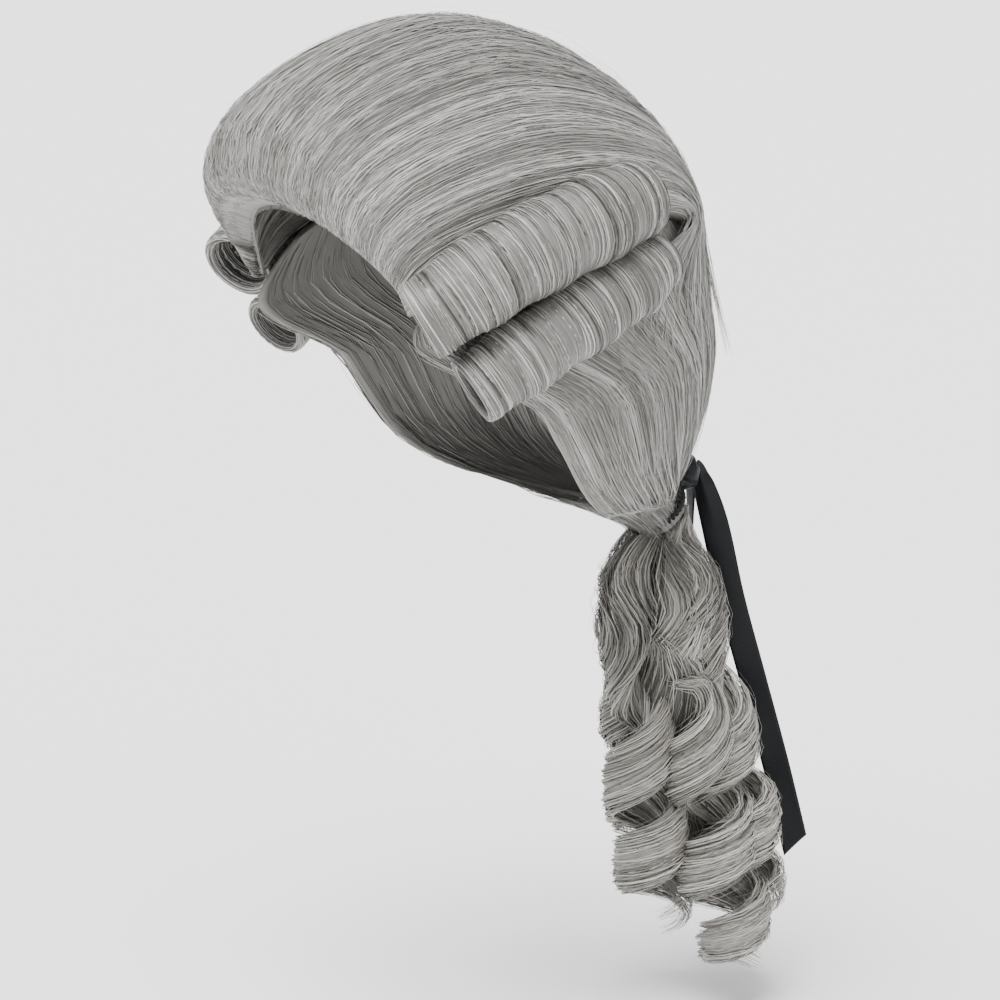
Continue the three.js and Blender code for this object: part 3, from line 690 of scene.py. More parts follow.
def floor_material():
    """Matt painted board, rolled on: a very faint stipple."""
    material, shader = new_material("matt_painted_board")
    place = add_node(material, "ShaderNodeTexCoord")
    stipple = add_node(material, "ShaderNodeTexNoise", {"Vector": place.outputs["Object"], "Scale": 900.0})
    ramp = add_node(material, "ShaderNodeValToRGB", {"Fac": stipple.outputs["Fac"]})
    set_ramp(ramp, (0.3, "F3F3F2"), (0.7, "F6F6F5"))
    material.node_tree.links.new(ramp.outputs["Color"], shader.inputs["Base Color"])
    shader.inputs["Roughness"].default_value = 0.9
    return material


# Hair pieces.

def mat_body(name, section_at, shares, columns, width_mm, length_mm, tone):
    """A closed hair mat: an outer and an inner grid on the section formula, bridged round their rims."""
    faces = []
    for inner in (0.0, 1.0):
        sheet = add_primitive(bpy.ops.mesh.primitive_grid_add, f"{name}_face", size=2,
                              x_subdivisions=columns, y_subdivisions=len(shares) - 1)
        flat = vertex_places(sheet)
        share = np.interp(flat[:, 1], np.linspace(-1, 1, len(shares)), shares)
        places, _ = mat_point(section_at(share), flat[:, 0], inner=inner)
        place_vertices(sheet, places)
        scale_fibre_map(sheet, width_mm, length_mm)
        faces.append(sheet)
    body = join(faces, name)
    edit(body, (bpy.ops.mesh.select_mode, {"type": "EDGE"}),
         (bpy.ops.mesh.select_all, {"action": "DESELECT"}),
         (bpy.ops.mesh.select_non_manifold, {}), (bpy.ops.mesh.bridge_edge_loops, {}))
    face_outwards(body)
    # Painted shade: the mat's tone is darker than its strands', so the gaps between strands look deep.
    set_tone(body, tone)
    return body


def smooth_noise(rng, count, share, bends, size):
    """A gentle random wave for each strand along its length."""
    phase = rng.uniform(0, 2 * math.pi, (count, 1, bends))
    weight = rng.normal(0, 1, (count, 1, bends)) / np.arange(1, bends + 1)
    waves = np.sin(phase + share[..., None] * math.pi * np.arange(1, bends + 1) * 1.4)
    return size * np.sum(weight * waves, -1)


def spread_evenly(rng, count, low, high):
    """Places between two ends, one at random in each of count equal lengths, in a random order."""
    return rng.permutation(low + (high - low) * (np.arange(count) + rng.random(count)) / count)


def clump_tone(rng, across, clumps, spread=0.09):
    """A tone shared by neighbouring strands, so that locks show."""
    level = rng.normal(0, spread, clumps)
    index = np.clip(((across + 1) / 2 * clumps).astype(int), 0, clumps - 1)
    return level[index]


def strand_tones(rng, place, base, fine=0.055, shade=0.1):
    """How light each strand is: locks of a few mm, then single strands, and one in seven darker as painted
    shade.
    """
    tones = base + clump_tone(rng, place, 60, fine) + clump_tone(rng, place, 260, fine)
    # The darker strands are painted shade, standing for the shaded gaps between strands.
    return tones + rng.normal(0, fine, len(place)) - shade * (rng.random(len(place)) < 0.15)


def combed_strands(name, section_at, rng, count, steps, starts, ends, lift, width=0.6, tone=0.5, wander=0.01,
                   across_range=(-1.0, 1.0), inner=0.0, clumps=46):
    """Strands combed along a mat, from a start share to an end share each. A start below 0 is round the
    front rim, on the inner lip."""
    across = spread_evenly(rng, count, *across_range)
    t = np.linspace(0, 1, steps)[None, :]
    share = starts[:, None] + (ends - starts)[:, None] * t ** 1.4
    round_rim = np.clip(-share / RIM_SHARE, 0, 1)
    share = np.maximum(share, 0)
    gather = np.round(across * clumps) / clumps
    pull = 0.55 * rng.random((count, 1)) * np.sin(math.pi * np.clip(share, 0, 1))
    line = across[:, None] + (gather - across)[:, None] * pull + smooth_noise(rng, count, share, 2, wander)
    line = np.clip(line, -1.01, 1.01)
    clump_lift = 0.5 * np.cos(math.pi * clumps * across)[:, None]
    height = lift(rng, across, t) + clump_lift * np.sin(math.pi * np.clip(share, 0.05, 0.95))
    paths, normals = mat_point(section_at(share), line, lift=height, inner=np.maximum(inner, 0.9 * round_rim))
    if inner:
        normals = -normals
    if np.any(round_rim > 0):
        behind, _ = mat_point(section_at(share + RIM_SHARE), line)
        edge, _ = mat_point(section_at(share), line)
        ahead = unit(edge - behind)
        paths = paths + ahead * (RIM_ROUNDING * np.sin(math.pi * round_rim))[..., None]
        normals = unit(normals * np.cos(math.pi * round_rim)[..., None]
                       + ahead * np.sin(math.pi * round_rim)[..., None])
    widths = width * rng.uniform(0.55, 1.3, count)
    # Painted shade: the roots that turn in under the rim are darker.
    tones = strand_tones(rng, across, tone)[:, None] - ROOT_PAINTED_SHADE * round_rim
    return strands(name, paths, normals, widths, widths * STRAND_THICKNESS, tones, rng)


def resting_lift(low, high):
    """A lift that differs from strand to strand and waves a little along it."""
    def lift(rng, across, t):
        count = len(across)
        base = rng.uniform(low, high, (count, 1))
        return base + smooth_noise(rng, count, np.repeat(t, count, 0), 2, 0.22)
    return lift


def swept_strands(name, rng, count, steps, across_range, begin, finish, flick, width, tone):
    """Strands that leave the crown, cross its end and lie on the nape. flick is how far their ends lift."""
    across = spread_evenly(rng, count, *across_range)
    t = np.linspace(0, 1, steps)[None, :]
    over = ease((t - 0.42) / 0.3)
    start, end = rng.uniform(*begin, (count, 1)), rng.uniform(*finish, (count, 1))
    crown_share = np.clip(start + (1 - start) * t / 0.45, 0, 1)
    nape_share = CROWN_MEETS_NAPE + (end - CROWN_MEETS_NAPE) * np.clip((t - 0.45) / 0.55, 0, 1)
    line = across[:, None] + smooth_noise(rng, count, np.repeat(t, count, 0), 2, 0.012)
    height = (rng.uniform(0.4, 1.6, (count, 1)) + 1.2 * np.exp(-((t - 0.46) / 0.14) ** 2)
              + flick * rng.uniform(0.5, 1.0, (count, 1)) * t ** 3)
    high, high_out = mat_point(crown_section(crown_share), line, lift=height)
    nape_line = line * (CROWN_TO_NAPE + CROWN_FAN * line ** 4)
    low, low_out = mat_point(nape_section(nape_share), nape_line, lift=height)
    mix = over[..., None]
    paths = high + (low - high) * mix
    for _ in range(2):
        paths[:, 1:-1] = (paths[:, :-2] + 2 * paths[:, 1:-1] + paths[:, 2:]) / 4
    widths = width * rng.uniform(0.55, 1.3, count)
    outward = unit(high_out + (low_out - high_out) * mix)
    tones = strand_tones(rng, across, tone)
    return strands(name, paths, outward, widths, widths * STRAND_THICKNESS, tones, rng)


def loose_lift(most):
    """A lift that grows towards the strand's end, for stray hairs."""
    def lift(rng, across, t):
        own = (len(across), 1)
        return 0.8 + most * rng.random(own) ** 2 * np.sin(math.pi * t * rng.uniform(0.6, 1.0, own))
    return lift


def stray_strands(name, section_at, rng, count, starts, ends, rise, wander):
    """Single hairs that come off a mat towards their ends."""
    return combed_strands(name, section_at, rng, count, 12, rng.uniform(*starts, count),
                          rng.uniform(*ends, count), loose_lift(rise), width=0.26, tone=0.6, wander=wander)


def inner_strands(name, section_at, rng, starts, ends, count=240):
    """Strands on a mat's inner face, round the hollow, darker than the outer strands as painted shade."""
    return combed_strands(name, section_at, rng, count, 12, rng.uniform(*starts, count),
                          rng.uniform(*ends, count), resting_lift(-0.6, 0.0), width=0.75, tone=0.36, inner=1.0)


def build_crown(count):
    rng = np.random.default_rng(11)
    fibre = bpy.data.materials["combed_fibre"]
    body = mat_body("crown_hair_mat", crown_section, np.linspace(0, 1, 45), 108, 320, 330, 0.32)
    finish_piece(body, fibre, HAIR_SLOT, "crown_hair")
    from_hairline = rng.random(count) < 0.62
    starts = np.where(from_hairline, rng.uniform(-RIM_SHARE, 0.004, count), rng.uniform(0, 0.6, count))
    ends = rng.uniform(0.85, 1.0, count)
    top = combed_strands("crown_strands", crown_section, rng, count, 13, starts, ends, resting_lift(0.0, 0.7))
    finish_piece(top, fibre, HAIR_SLOT)
    fine = 600
    short = combed_strands("crown_hairline", crown_section, rng, fine, 8,
                           rng.uniform(-1.3 * RIM_SHARE, -0.7 * RIM_SHARE, fine),
                           rng.uniform(0.03, 0.1, fine), resting_lift(0.1, 0.8), width=0.62, tone=0.46)
    flying = stray_strands("crown_stray", crown_section, rng, 110, (0, 0.5), (0.6, 1.0), 5.0, 0.03)
    swept = swept_strands("crown_swept", rng, 620, 14, (-1.0, 1.0), (0.6, 0.93), (0.3, 0.75), 0.6, 0.62, 0.5)
    flicks = [swept_strands("crown_flick", rng, 16, 10, (place - 0.03, place + 0.03), (0.86, 0.95),
                            (end + 0.16, end + 0.2), size, 0.5, 0.5)
              for place, end, size in CROWN_FLICKS]
    finish_piece(join([short, flying, swept, *flicks], "crown_loose_strands"), fibre, HAIR_SLOT)
    within = inner_strands("crown_inner_strands", crown_section, rng, (0, 0.1), (0.8, 1.0))
    finish_piece(within, fibre, HAIR_SLOT)


def build_nape(count):
    rng = np.random.default_rng(23)
    fibre = bpy.data.materials["combed_fibre"]
    gathered = [GATHER_START, (GATHER_START + GATHER_END) / 2, GATHER_END]
    shares = np.concatenate([np.linspace(0, 1, 34), gathered])
    body = mat_body("nape_hair_mat", nape_section, shares, 90, 340, 230, 0.32)
    finish_piece(body, fibre, HAIR_SLOT, "nape_hair")
    starts = rng.uniform(0.05, 0.4, count)
    ends = np.full(count, GATHER_END) - rng.uniform(0, 0.02, count)

    def lift(rng, across, t):
        base = rng.uniform(0.0, 0.9, (count, 1)) * (1 - 0.75 * t)
        return base + smooth_noise(rng, count, np.repeat(t, count, 0), 2, 0.25) * (1 - t)
    outside = combed_strands("nape_strands", nape_section, rng, count, 14, starts, ends, lift, tone=0.47)
    finish_piece(outside, fibre, HAIR_SLOT)

    def draped(rng, across, t):
        fullness = ease((t - 0.35) / 0.5) * (1 - 0.55 * t ** 5)
        reach = np.abs(across)[:, None]
        beside = np.clip((reach - DRAPE_PARTING) / 0.2, 0, 1) * (1 - 0.5 * np.clip((reach - 0.8) / 0.2, 0, 1))
        return rng.uniform(0.8, 1.1, (len(across), 1)) * NAPE_DRAPE * beside * fullness
    fall = 430
    drape = combed_strands("nape_drape_strands", nape_section, rng, fall, 13, rng.uniform(0.42, 0.72, fall),
                           rng.uniform(GATHER_END - 0.03, GATHER_END + 0.005, fall), draped)
    finish_piece(drape, fibre, HAIR_SLOT)
    flying = stray_strands("nape_stray_strands", nape_section, rng, 90, (0.1, 0.5), (0.6, 1.0), 4.5, 0.04)
    finish_piece(flying, fibre, HAIR_SLOT)
    within = inner_strands("nape_inner_strands", nape_section, rng, (0, 0.2), (0.9, 1.05))
    finish_piece(within, fibre, HAIR_SLOT)


def wall_place(turn, lift=0.0):
    """Share of the roll's length and depth in its wall, once round the wall's rounded outline: 0 is the front
    end, a quarter turn the outside and half a turn the rear end. lift is how far off it, in mm."""
    across, over = np.cos(turn), np.sin(turn)
    reach = np.sign(across) * np.abs(across) ** 0.55 * (1 + 2 * lift / ROLL_SPAN)
    rise = np.sign(over) * np.abs(over) ** 0.4 * (1 + 2 * lift / ROLL_WALL)
    return (1 - reach) / 2, ROLL_WALL / 2 * (1 - rise)


def roll_body(name, stations, diameter, side):
    """The wound tube with its wall, from a torus whose small circle becomes the wall's outline."""
    tube, angle, turn = add_ring(name, 64, 56)
    share, depth = wall_place(turn)
    places, _ = roll_point(stations, diameter, side, share, angle, depth)
    place_vertices(tube, places)
    turn_fibre_map(tube, 230, 118)
    face_outwards(tube)
    # Painted shade: the tube is much darker than its strands, so the gaps between the windings look deep.
    set_tone(tube, 0.24)
    return tube


def wound_strands(name, stations, diameter, side, rng, count, steps, turn_range, windings, lift, width, tone):
    """Strands wound round a roll: each goes some way round while it creeps along its length."""
    place = spread_evenly(rng, count, 0, 1)
    table = np.linspace(*turn_range, 400)
    share, depth = wall_place(table)
    travel = np.cumsum(np.hypot(np.diff(share, prepend=share[0]) * ROLL_SPAN,
                                np.diff(depth, prepend=depth[0])))
    bands = 34
    height = rng.uniform(-0.25, 0.3, bands)
    band = np.clip((place * bands + rng.normal(0, 0.3, count)).astype(int), 0, bands - 1)
    t = np.linspace(0, 1, steps)[None, :]
    first = rng.uniform(0, 2 * math.pi, (count, 1))
    angle = first + side * 2 * math.pi * rng.uniform(*windings, (count, 1)) * t
    creep = rng.normal(0, 1.1, (count, 1)) * (t - 0.5)
    creep = creep + smooth_noise(rng, count, np.repeat(t, count, 0), 2, 0.3)
    rise = rng.uniform(*lift, (count, 1)) + height[band][:, None]
    facing = np.interp(place[:, None] * travel[-1] + creep, travel, table)
    share, depth = wall_place(facing, rise)
    paths, normals = roll_point(stations, diameter, side, share, angle, depth)
    _, along = roll_line(stations, diameter, side, share)
    normals = unit(normals * np.sin(facing)[..., None] - along * (np.cos(facing) ** 5)[..., None])
    widths = width * rng.uniform(0.55, 1.3, count)
    tones = strand_tones(rng, 2 * place - 1, tone, 0.09, 0.26)
    return strands(name, paths, normals, widths, widths * STRAND_THICKNESS, tones, rng)


def build_roll(level, word, side, count):
    diameter, stations = ROLLS[level]
    rng = np.random.default_rng(31 + 2 * (level == "lower") + (side < 0))
    name = f"side_roll_{level}_{word}"
    material = bpy.data.materials["wound_fibre"]
    finish_piece(roll_body(f"{name}_tube", stations, diameter, side), material, ROLL_SLOT, name)
    around = wound_strands(name, stations, diameter, side, rng, count, 14, (-0.5, math.pi + 0.5), (0.3, 0.8),
                           (0.0, 0.5), 0.55, 0.5)
    # Strands inside the roll's open end, darker as painted shade in its hollow.
    within = wound_strands(name, stations, diameter, side, rng, 60, 12, (-1.2, -0.4), (0.4, 0.8),
                           (0.0, 0.3), 0.9, 0.3)
    finish_piece(join([around, within], f"{name}_strands"), material, ROLL_SLOT)


def lock_body(name, lock):
    """A lock's packed inside, from a ball whose rings are laid along it."""
    ball = add_primitive(bpy.ops.mesh.primitive_uv_sphere_add, name, segments=14, ring_count=90, radius=1)
    flat = vertex_places(ball)
    share = np.arccos(np.clip(-flat[:, 2], -1, 1)) / math.pi
    angle = np.arctan2(flat[:, 1], flat[:, 0])
    centre, wide, face, half_width, half_thick = lock_frame(lock, CORE_REACH * share ** 0.7)
    close = 0.84 * np.sqrt(np.clip(np.minimum(share, 1 - share) * 14, 0, 1))
    places = (centre + wide * (half_width * close * np.cos(angle))[:, None]
              + face * (half_thick * close * np.sin(angle))[:, None])
    place_vertices(ball, places)
    scale_fibre_map(ball, 60, 330)
    face_outwards(ball)
    # Painted shade: the core is darker than its strands, so the gaps between them look deep.
    set_tone(ball, 0.36)
    return ball


def lock_strands(name, lock, rng, count, steps, reach=(0.86, 1.1), width=0.85, tone=0.48):
    """Strands that lie on a lock and follow its curls."""
    t = np.linspace(0, 1, steps)[None, :]
    starts = rng.uniform(0.0, 0.05, (count, 1))
    ends = 1 - np.abs(rng.normal(0, 0.05, (count, 1)))
    share = starts + (ends - starts) * t ** 0.72
    angle = (rng.uniform(0, 2 * math.pi, (count, 1)) + smooth_noise(rng, count, share, 2, 0.25)
             + 0.8 * (share - 0.5) * rng.normal(0, 1, (count, 1)))
    wave = LOCK_WAVE * np.sin(2 * math.pi * LOCK_WAVES * share + 2 * lock[0])
    angle = angle + wave * np.clip(1.7 - 4 * share, 0, 1)
    ridges = 0.09 * np.cos(7 * angle)
    out = rng.uniform(*reach, (count, 1)) + ridges + smooth_noise(rng, count, share, 2, 0.03)
    centre, wide, face, half_width, half_thick = lock_frame(lock, share)
    paths = (centre + wide * (half_width * out * np.cos(angle))[..., None]
             + face * (half_thick * out * np.sin(angle))[..., None])
    normals = unit(wide * (np.cos(angle) / half_width)[..., None]
                   + face * (np.sin(angle) / half_thick)[..., None])
    # Painted light and shade: strands are lighter on the lock's ridges and darker in the grooves between them.
    tones = tone + 0.08 * np.cos(7 * angle)
    tones = tones + strand_tones(rng, rng.uniform(-1, 1, count), 0, 0.06, 0.15)[:, None]
    # Painted light and shade of the waves in the lock's upper part.
    turn = math.radians(lock[0]) + 0.5 * np.cos(angle)
    tones = tones + painted_wave_light(turn, share) * np.clip(2 - 4 * share, 0, 1)
    widths = width * rng.uniform(0.55, 1.3, count)
    return strands(name, paths, normals, widths, widths * CURLED_THICKNESS, tones, rng)


def root_point(share, angle, out):
    """A point on the queue's full middle at a share of its table, and the direction out."""
    row = sample(QUEUE_MIDDLE, share)
    upright = np.clip(share, 0, 1)[..., None]
    back = unit(GATHER_BACK * (1 - upright) + np.array([0.0, 1.0, 0.0]) * upright)
    normal = back * np.cos(angle)[..., None] + X_AXIS * np.sin(angle)[..., None]
    return queue_axis(row["along"]) + normal * (GATHER_RADIUS * row["radius"] * out)[..., None], normal


def root_body(name):
    """The queue's packed middle, from a ball whose rings are laid down it."""
    ball = add_primitive(bpy.ops.mesh.primitive_uv_sphere_add, name, segments=40, ring_count=60, radius=1)
    flat = vertex_places(ball)
    share = np.arccos(np.clip(flat[:, 2], -1, 1)) / math.pi
    close = np.sqrt(np.clip(np.minimum(share, 1 - share) * 14, 0, 1))
    places, _ = root_point(share, np.arctan2(flat[:, 0], flat[:, 1]), 0.94 * close)
    place_vertices(ball, places)
    scale_fibre_map(ball, 110, 180)
    face_outwards(ball)
    # Painted shade: the middle is darkest, for the deep shade among the locks.
    set_tone(ball, 0.14)
    return ball


def painted_wave_light(turn, along):
    """Painted light on the crests and shade in the hollows of the queue's waves, at a turn round and a share
    down it.
    """
    return 0.13 * np.sin(2 * math.pi * 2.3 * along + 2 * turn) - 0.09 + 0.05 * np.sin(5 * turn - 9 * along)


def root_strands(name, rng, count, steps, reach, rise, dive):
    """Strands that leave the tie all round and wave down over the queue's middle. reach is how far down it
    they go, rise how far out they lie and dive how far in their ends turn."""
    t = np.linspace(0, 1, steps)[None, :]
    share = rng.uniform(0, 0.04, (count, 1)) + rng.uniform(*reach, (count, 1)) * t
    first = spread_evenly(rng, count, 0, 2 * math.pi)
    wave = 0.85 * np.sin(2 * math.pi * (1.5 * share + 0.12 * np.sin(2 * first)[:, None]))
    wave = wave * np.clip(share / 0.25, 0, 1)
    angle = first[:, None] + wave + smooth_noise(rng, count, share, 2, 0.1)
    out = rng.uniform(*rise, (count, 1)) + 0.05 * np.cos(11 * angle) - dive * t ** 3
    paths, normals = root_point(share, angle, out)
    along = sample(QUEUE_MIDDLE, share)["along"]
    # Painted light and shade of the waves on the middle's strands.
    tones = strand_tones(rng, first / math.pi - 1, 0.46, 0.06, 0.15)[:, None] + painted_wave_light(angle, along)
    widths = 0.7 * rng.uniform(0.55, 1.3, count)
    return strands(name, paths, normals, widths, widths * CURLED_THICKNESS, tones, rng)


def build_queue(count):
    material = bpy.data.materials["curled_fibre"]
    rng = np.random.default_rng(50)
    finish_piece(root_body("queue_middle"), material, CURL_SLOT, "queue")
    over = root_strands("queue_middle_strands", rng, 300, 14, (0.45, 0.7), (1.0, 1.14), 0.3)
    under = root_strands("queue_middle_strands", rng, 200, 14, (0.8, 0.95), (0.97, 1.04), 0)
    finish_piece(join([over, under], "queue_middle_strands"), material, CURL_SLOT)
    for number, lock in enumerate(QUEUE_LOCKS, 1):
        rng = np.random.default_rng(50 + number)
        body = lock_body(f"queue_lock_{number}_core", lock)
        finish_piece(body, material, CURL_SLOT, "queue")
        hair = lock_strands(f"queue_lock_{number}_strands", lock, rng, count, 42)
        loose = lock_strands("queue_loose", lock, rng, 12, 42, (1.1, 1.5), 0.26, 0.6)
        finish_piece(join([hair, loose], f"queue_lock_{number}_strands"), material, CURL_SLOT)


def build_tie():
    """Three strands plaited round the gather, each a bent ring."""
    parts = []
    for number in range(3):
        ring, angle, turn = add_ring("hair_tie_strand", 360, 8)
        weave = TIE_PLAITS * angle + 2 * math.pi * number / 3
        middle = GATHER_RADIUS + PIECE_GAP + TIE_WALL / 2
        distance = middle + 0.55 * np.sin(2 * weave) + 1.1 * np.cos(turn)
        height = (TIE_HEIGHT / 2 - 1.9) * np.sin(weave) + 1.9 * np.sin(turn)
        outward = GATHER_BACK * np.cos(angle)[:, None] + X_AXIS * np.sin(angle)[:, None]
        place_vertices(ring, TIE_CENTRE + outward * distance[:, None] + GATHER_AXIS * height[:, None])
        scale_fibre_map(ring, 90, 8)
        parts.append(ring)
    tie = join(parts, "hair_tie_plait")
    face_outwards(tie)
    finish_piece(tie, bpy.data.materials["plaited_elastic"], BRAID_SLOT, "hair_tie")


def build_knot():
    """The knotted ribbon: narrow turns wound over each other, each a ring pressed flat."""
    parts = []
    for turn, tilt, size in KNOT_TURNS:
        ring, around, small = add_ring("ribbon_knot_turn", 64, 16)
        crease = 1 + 0.12 * np.cos(3 * around + turn) + 0.05 * np.cos(8 * around)
        reach = KNOT_SIZE * size * (0.27 + 0.2 * np.cos(small)) * crease
        spread = KNOT_SIZE * size * 0.34 * np.sin(small)
        ca, sa, ct, st = math.cos(turn), math.sin(turn), math.cos(tilt), math.sin(tilt)
        first = GATHER_AXIS * ca + X_AXIS * sa
        axis = (X_AXIS * ca - GATHER_AXIS * sa) * ct + GATHER_BACK * st
        second = np.cross(first, axis)
        place_vertices(ring, KNOT_CENTRE + first * (reach * np.cos(around))[:, None]
                       + second * (reach * np.sin(around))[:, None] + axis * spread[:, None])
        scale_fibre_map(ring, 40, 13)
        parts.append(ring)
    knot = join(parts, "ribbon_knot_turns")
    face_outwards(knot)
    finish_piece(knot, bpy.data.materials["grosgrain_ribbon"], RIBBON_SLOT, "ribbon_knot")


def build_tail(word):
    """A ribbon tail: a strip laid along its hanging line, with a slanted cut end, made a thin sheet."""
    turn, rows = TAILS[word]
    sheet = add_primitive(bpy.ops.mesh.primitive_grid_add, f"ribbon_tail_{word}_cloth", size=2,
                          x_subdivisions=10, y_subdivisions=110)
    flat = vertex_places(sheet)
    share = (flat[:, 1] + 1) / 2

    def line(value):
        row = sample((TAIL_COLUMNS, rows), value)
        return KNOT_CENTRE + RIBBON_FALL * points(row["side"], row["back"], -row["drop"])
    centre = line(share)
    along = unit(line(np.clip(share + 0.01, 0, 1)) - line(np.clip(share - 0.01, 0, 1)))
    wide = points(math.cos(turn), math.sin(turn), 0) + along * 0
    wide = unit(wide - along * np.sum(wide * along, -1, keepdims=True))
    face = np.cross(wide, along)
    half = RIBBON_WIDTH / 2
    slant = -flat[:, 0] * RIBBON_WIDTH * RIBBON_END_SLANT * np.clip((share - 0.9) / 0.1, 0, 1)
    folded = sample((TAIL_COLUMNS, rows), share)["width"]
    cup = 0.5 * (flat[:, 0] ** 2) * np.sin(5 * share)
    cup = cup + half * np.sqrt(1 - np.clip(folded, 0, 1)) * np.abs(flat[:, 0])
    places = (centre + wide * (flat[:, 0] * half * folded)[:, None] + along * slant[:, None]
              + face * cup[:, None])
    place_vertices(sheet, places)
    scale_fibre_map(sheet, RIBBON_WIDTH, 200)
    apply_modifier(sheet, "SOLIDIFY", thickness=0.4 * MM, offset=0.0)
    finish_piece(sheet, bpy.data.materials["grosgrain_ribbon"], RIBBON_SLOT, f"ribbon_tail_{word}")
    length = np.sum(np.linalg.norm(np.diff(line(np.linspace(0, 1, 200)), axis=0), axis=-1)) * MM


class WigSettings(bpy.types.PropertyGroup):
    """Counts and sizes that a user may change."""
    crown_count: bpy.props.IntProperty(
        name="Crown strands", description="Strands on the crown's outside", default=2050, min=100, max=2650)
    nape_count: bpy.props.IntProperty(
        name="Nape strands", description="Strands on the nape's outside", default=1600, min=100, max=2400)
    roll_count: bpy.props.IntProperty(
        name="Roll strands", description="Strands wound round each side roll", default=500, min=50, max=1500)
    lock_count: bpy.props.IntProperty(
        name="Lock strands", description="Strands in each lock of the queue", default=175, min=50, max=700)
    floor_gap: bpy.props.FloatProperty(
        name="Floor gap", description="Height of the queue's end over the floor", default=FLOOR_GAP,
        unit="LENGTH", subtype="DISTANCE")


class WIG_OT_materials(bpy.types.Operator):
    """Makes the fibre, ribbon and elastic materials"""
    bl_idname = "wig.materials"
    bl_label = "Make materials"

    def execute(self, context):
        hair_material("combed_fibre", "302E2B", "8B8985", "C9C7C4")
        hair_material("wound_fibre", "302E2B", "8B8985", "C9C7C4")
        hair_material("curled_fibre", "2E2B26", "8A8781", "C6C3BC")
        # The second colour of each ribbon material is the painted highlight on its ribs.
        ribbon_material("grosgrain_ribbon", "07080A", "121417")
        ribbon_material("plaited_elastic", "060607", "101112")
        return {"FINISHED"}


class WIG_OT_crown(bpy.types.Operator):
    """Models the combed crown: its mat and its strands"""
    bl_idname = "wig.crown"
    bl_label = "Model the crown"

    def execute(self, context):
        build_crown(context.scene.wig.crown_count)
        return {"FINISHED"}


class WIG_OT_nape(bpy.types.Operator):
    """Models the hair that falls from under the crown to the gather"""
    bl_idname = "wig.nape"
    bl_label = "Model the nape hair"

    def execute(self, context):
        build_nape(context.scene.wig.nape_count)
        return {"FINISHED"}


class WIG_OT_rolls(bpy.types.Operator):
    """Models the two wound rolls of each side"""
    bl_idname = "wig.rolls"
    bl_label = "Model the side rolls"

    def execute(self, context):
        for level in ROLLS:
            for word, side in (("left", 1), ("right", -1)):
                build_roll(level, word, side, context.scene.wig.roll_count)
        return {"FINISHED"}


class WIG_OT_tie(bpy.types.Operator):
    """Models the plaited tie, the ribbon's knot and its two tails"""
    bl_idname = "wig.tie"
    bl_label = "Model the tie and ribbon"

    def execute(self, context):
        build_tie()
        build_knot()
        for word in TAILS:
            build_tail(word)
        return {"FINISHED"}


class WIG_OT_queue(bpy.types.Operator):
    """Models the queue's spiral locks"""
    bl_idname = "wig.queue"
    bl_label = "Model the queue"

    def execute(self, context):
        build_queue(context.scene.wig.lock_count)
        return {"FINISHED"}


def aim(direction):
    """The turn that makes a camera or light look back along a direction."""
    return Vector(direction).to_track_quat("Z", "Y").to_euler()


def from_sky(azimuth, elevation):
    """The direction of a place in the sky, in degrees round from the wig's front and up from the floor."""
    a, e = math.radians(azimuth), math.radians(elevation)
    return Vector((math.sin(a) * math.cos(e), -math.cos(a) * math.cos(e), math.sin(e)))


def add_soft_light(name, azimuth, elevation, strength, spread):
    """A wide soft light of one strength all over the stage, as a large studio softbox gives."""
    light = bpy.data.lights.new(name, "SUN")
    light.energy = strength
    light.angle = math.radians(spread)
    lamp = bpy.data.objects.new(name, light)
    lamp.rotation_euler = aim(from_sky(azimuth, elevation))
    bpy.context.scene.collection.objects.link(lamp)


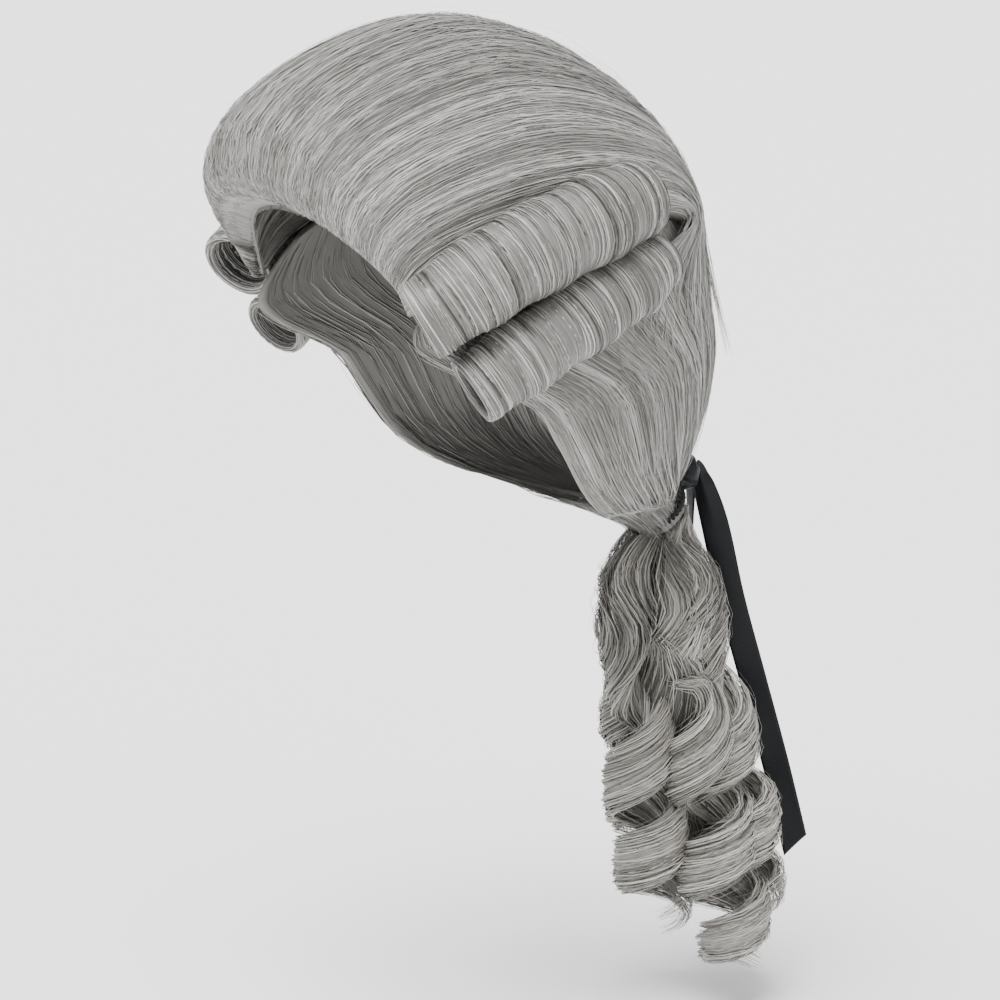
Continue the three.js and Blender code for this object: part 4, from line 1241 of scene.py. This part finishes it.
class WIG_OT_stage(bpy.types.Operator):
    """Adds the pale floor, the soft lights and the camera"""
    bl_idname = "wig.stage"
    bl_label = "Set the stage"

    def execute(self, context):
        low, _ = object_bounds()
        floor = add_primitive(bpy.ops.mesh.primitive_plane_add, "studio_floor", size=FLOOR_SIZE,
                              location=(0, 0, low.z - context.scene.wig.floor_gap))
        floor.data.materials.append(floor_material())
        floor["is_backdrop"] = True
        world = bpy.data.worlds.new("studio_air")
        world.use_nodes = True
        world.node_tree.nodes["Background"].inputs["Color"].default_value = linear("F4F6F8")
        world.node_tree.nodes["Background"].inputs["Strength"].default_value = 0.75
        context.scene.world = world
        add_soft_light("overhead_softbox", 24, 66, 7.4, 45)
        add_soft_light("side_softbox", 100, 30, 1.4, 60)
        camera_data = bpy.data.cameras.new("photo_camera")
        camera_data.lens = CAMERA_LENS
        camera_data.sensor_width = CAMERA_SENSOR
        camera = bpy.data.objects.new("photo_camera", camera_data)
        back = from_sky(CAMERA_AZIMUTH, CAMERA_ELEVATION)
        camera.location = CAMERA_TARGET + back * CAMERA_DISTANCE
        camera.rotation_euler = aim(back)
        context.scene.collection.objects.link(camera)
        context.scene.camera = camera
        return {"FINISHED"}


class WIG_PT_panel(bpy.types.Panel):
    """Lists the steps that model the wig"""
    bl_label = "Court wig"
    bl_idname = "WIG_PT_panel"
    bl_space_type = "VIEW_3D"
    bl_region_type = "UI"
    bl_category = "Wig"

    def draw(self, context):
        for key in WigSettings.__annotations__:
            self.layout.prop(context.scene.wig, key)
        for step in STEPS:
            self.layout.operator(step.bl_idname)


STEPS = (WIG_OT_materials, WIG_OT_crown, WIG_OT_nape, WIG_OT_rolls, WIG_OT_tie, WIG_OT_queue, WIG_OT_stage)


def register():
    for item in (WigSettings, *STEPS, WIG_PT_panel):
        bpy.utils.register_class(item)
    bpy.types.Scene.wig = bpy.props.PointerProperty(type=WigSettings)


def unregister():
    del bpy.types.Scene.wig
    for item in (WIG_PT_panel, *reversed(STEPS), WigSettings):
        bpy.utils.unregister_class(item)


def main():
    register()
    bpy.ops.wig.materials()
    bpy.ops.wig.crown()
    bpy.ops.wig.nape()
    bpy.ops.wig.rolls()
    bpy.ops.wig.tie()
    bpy.ops.wig.queue()
    bpy.ops.wig.stage()


if __name__ == "__main__":
    main()
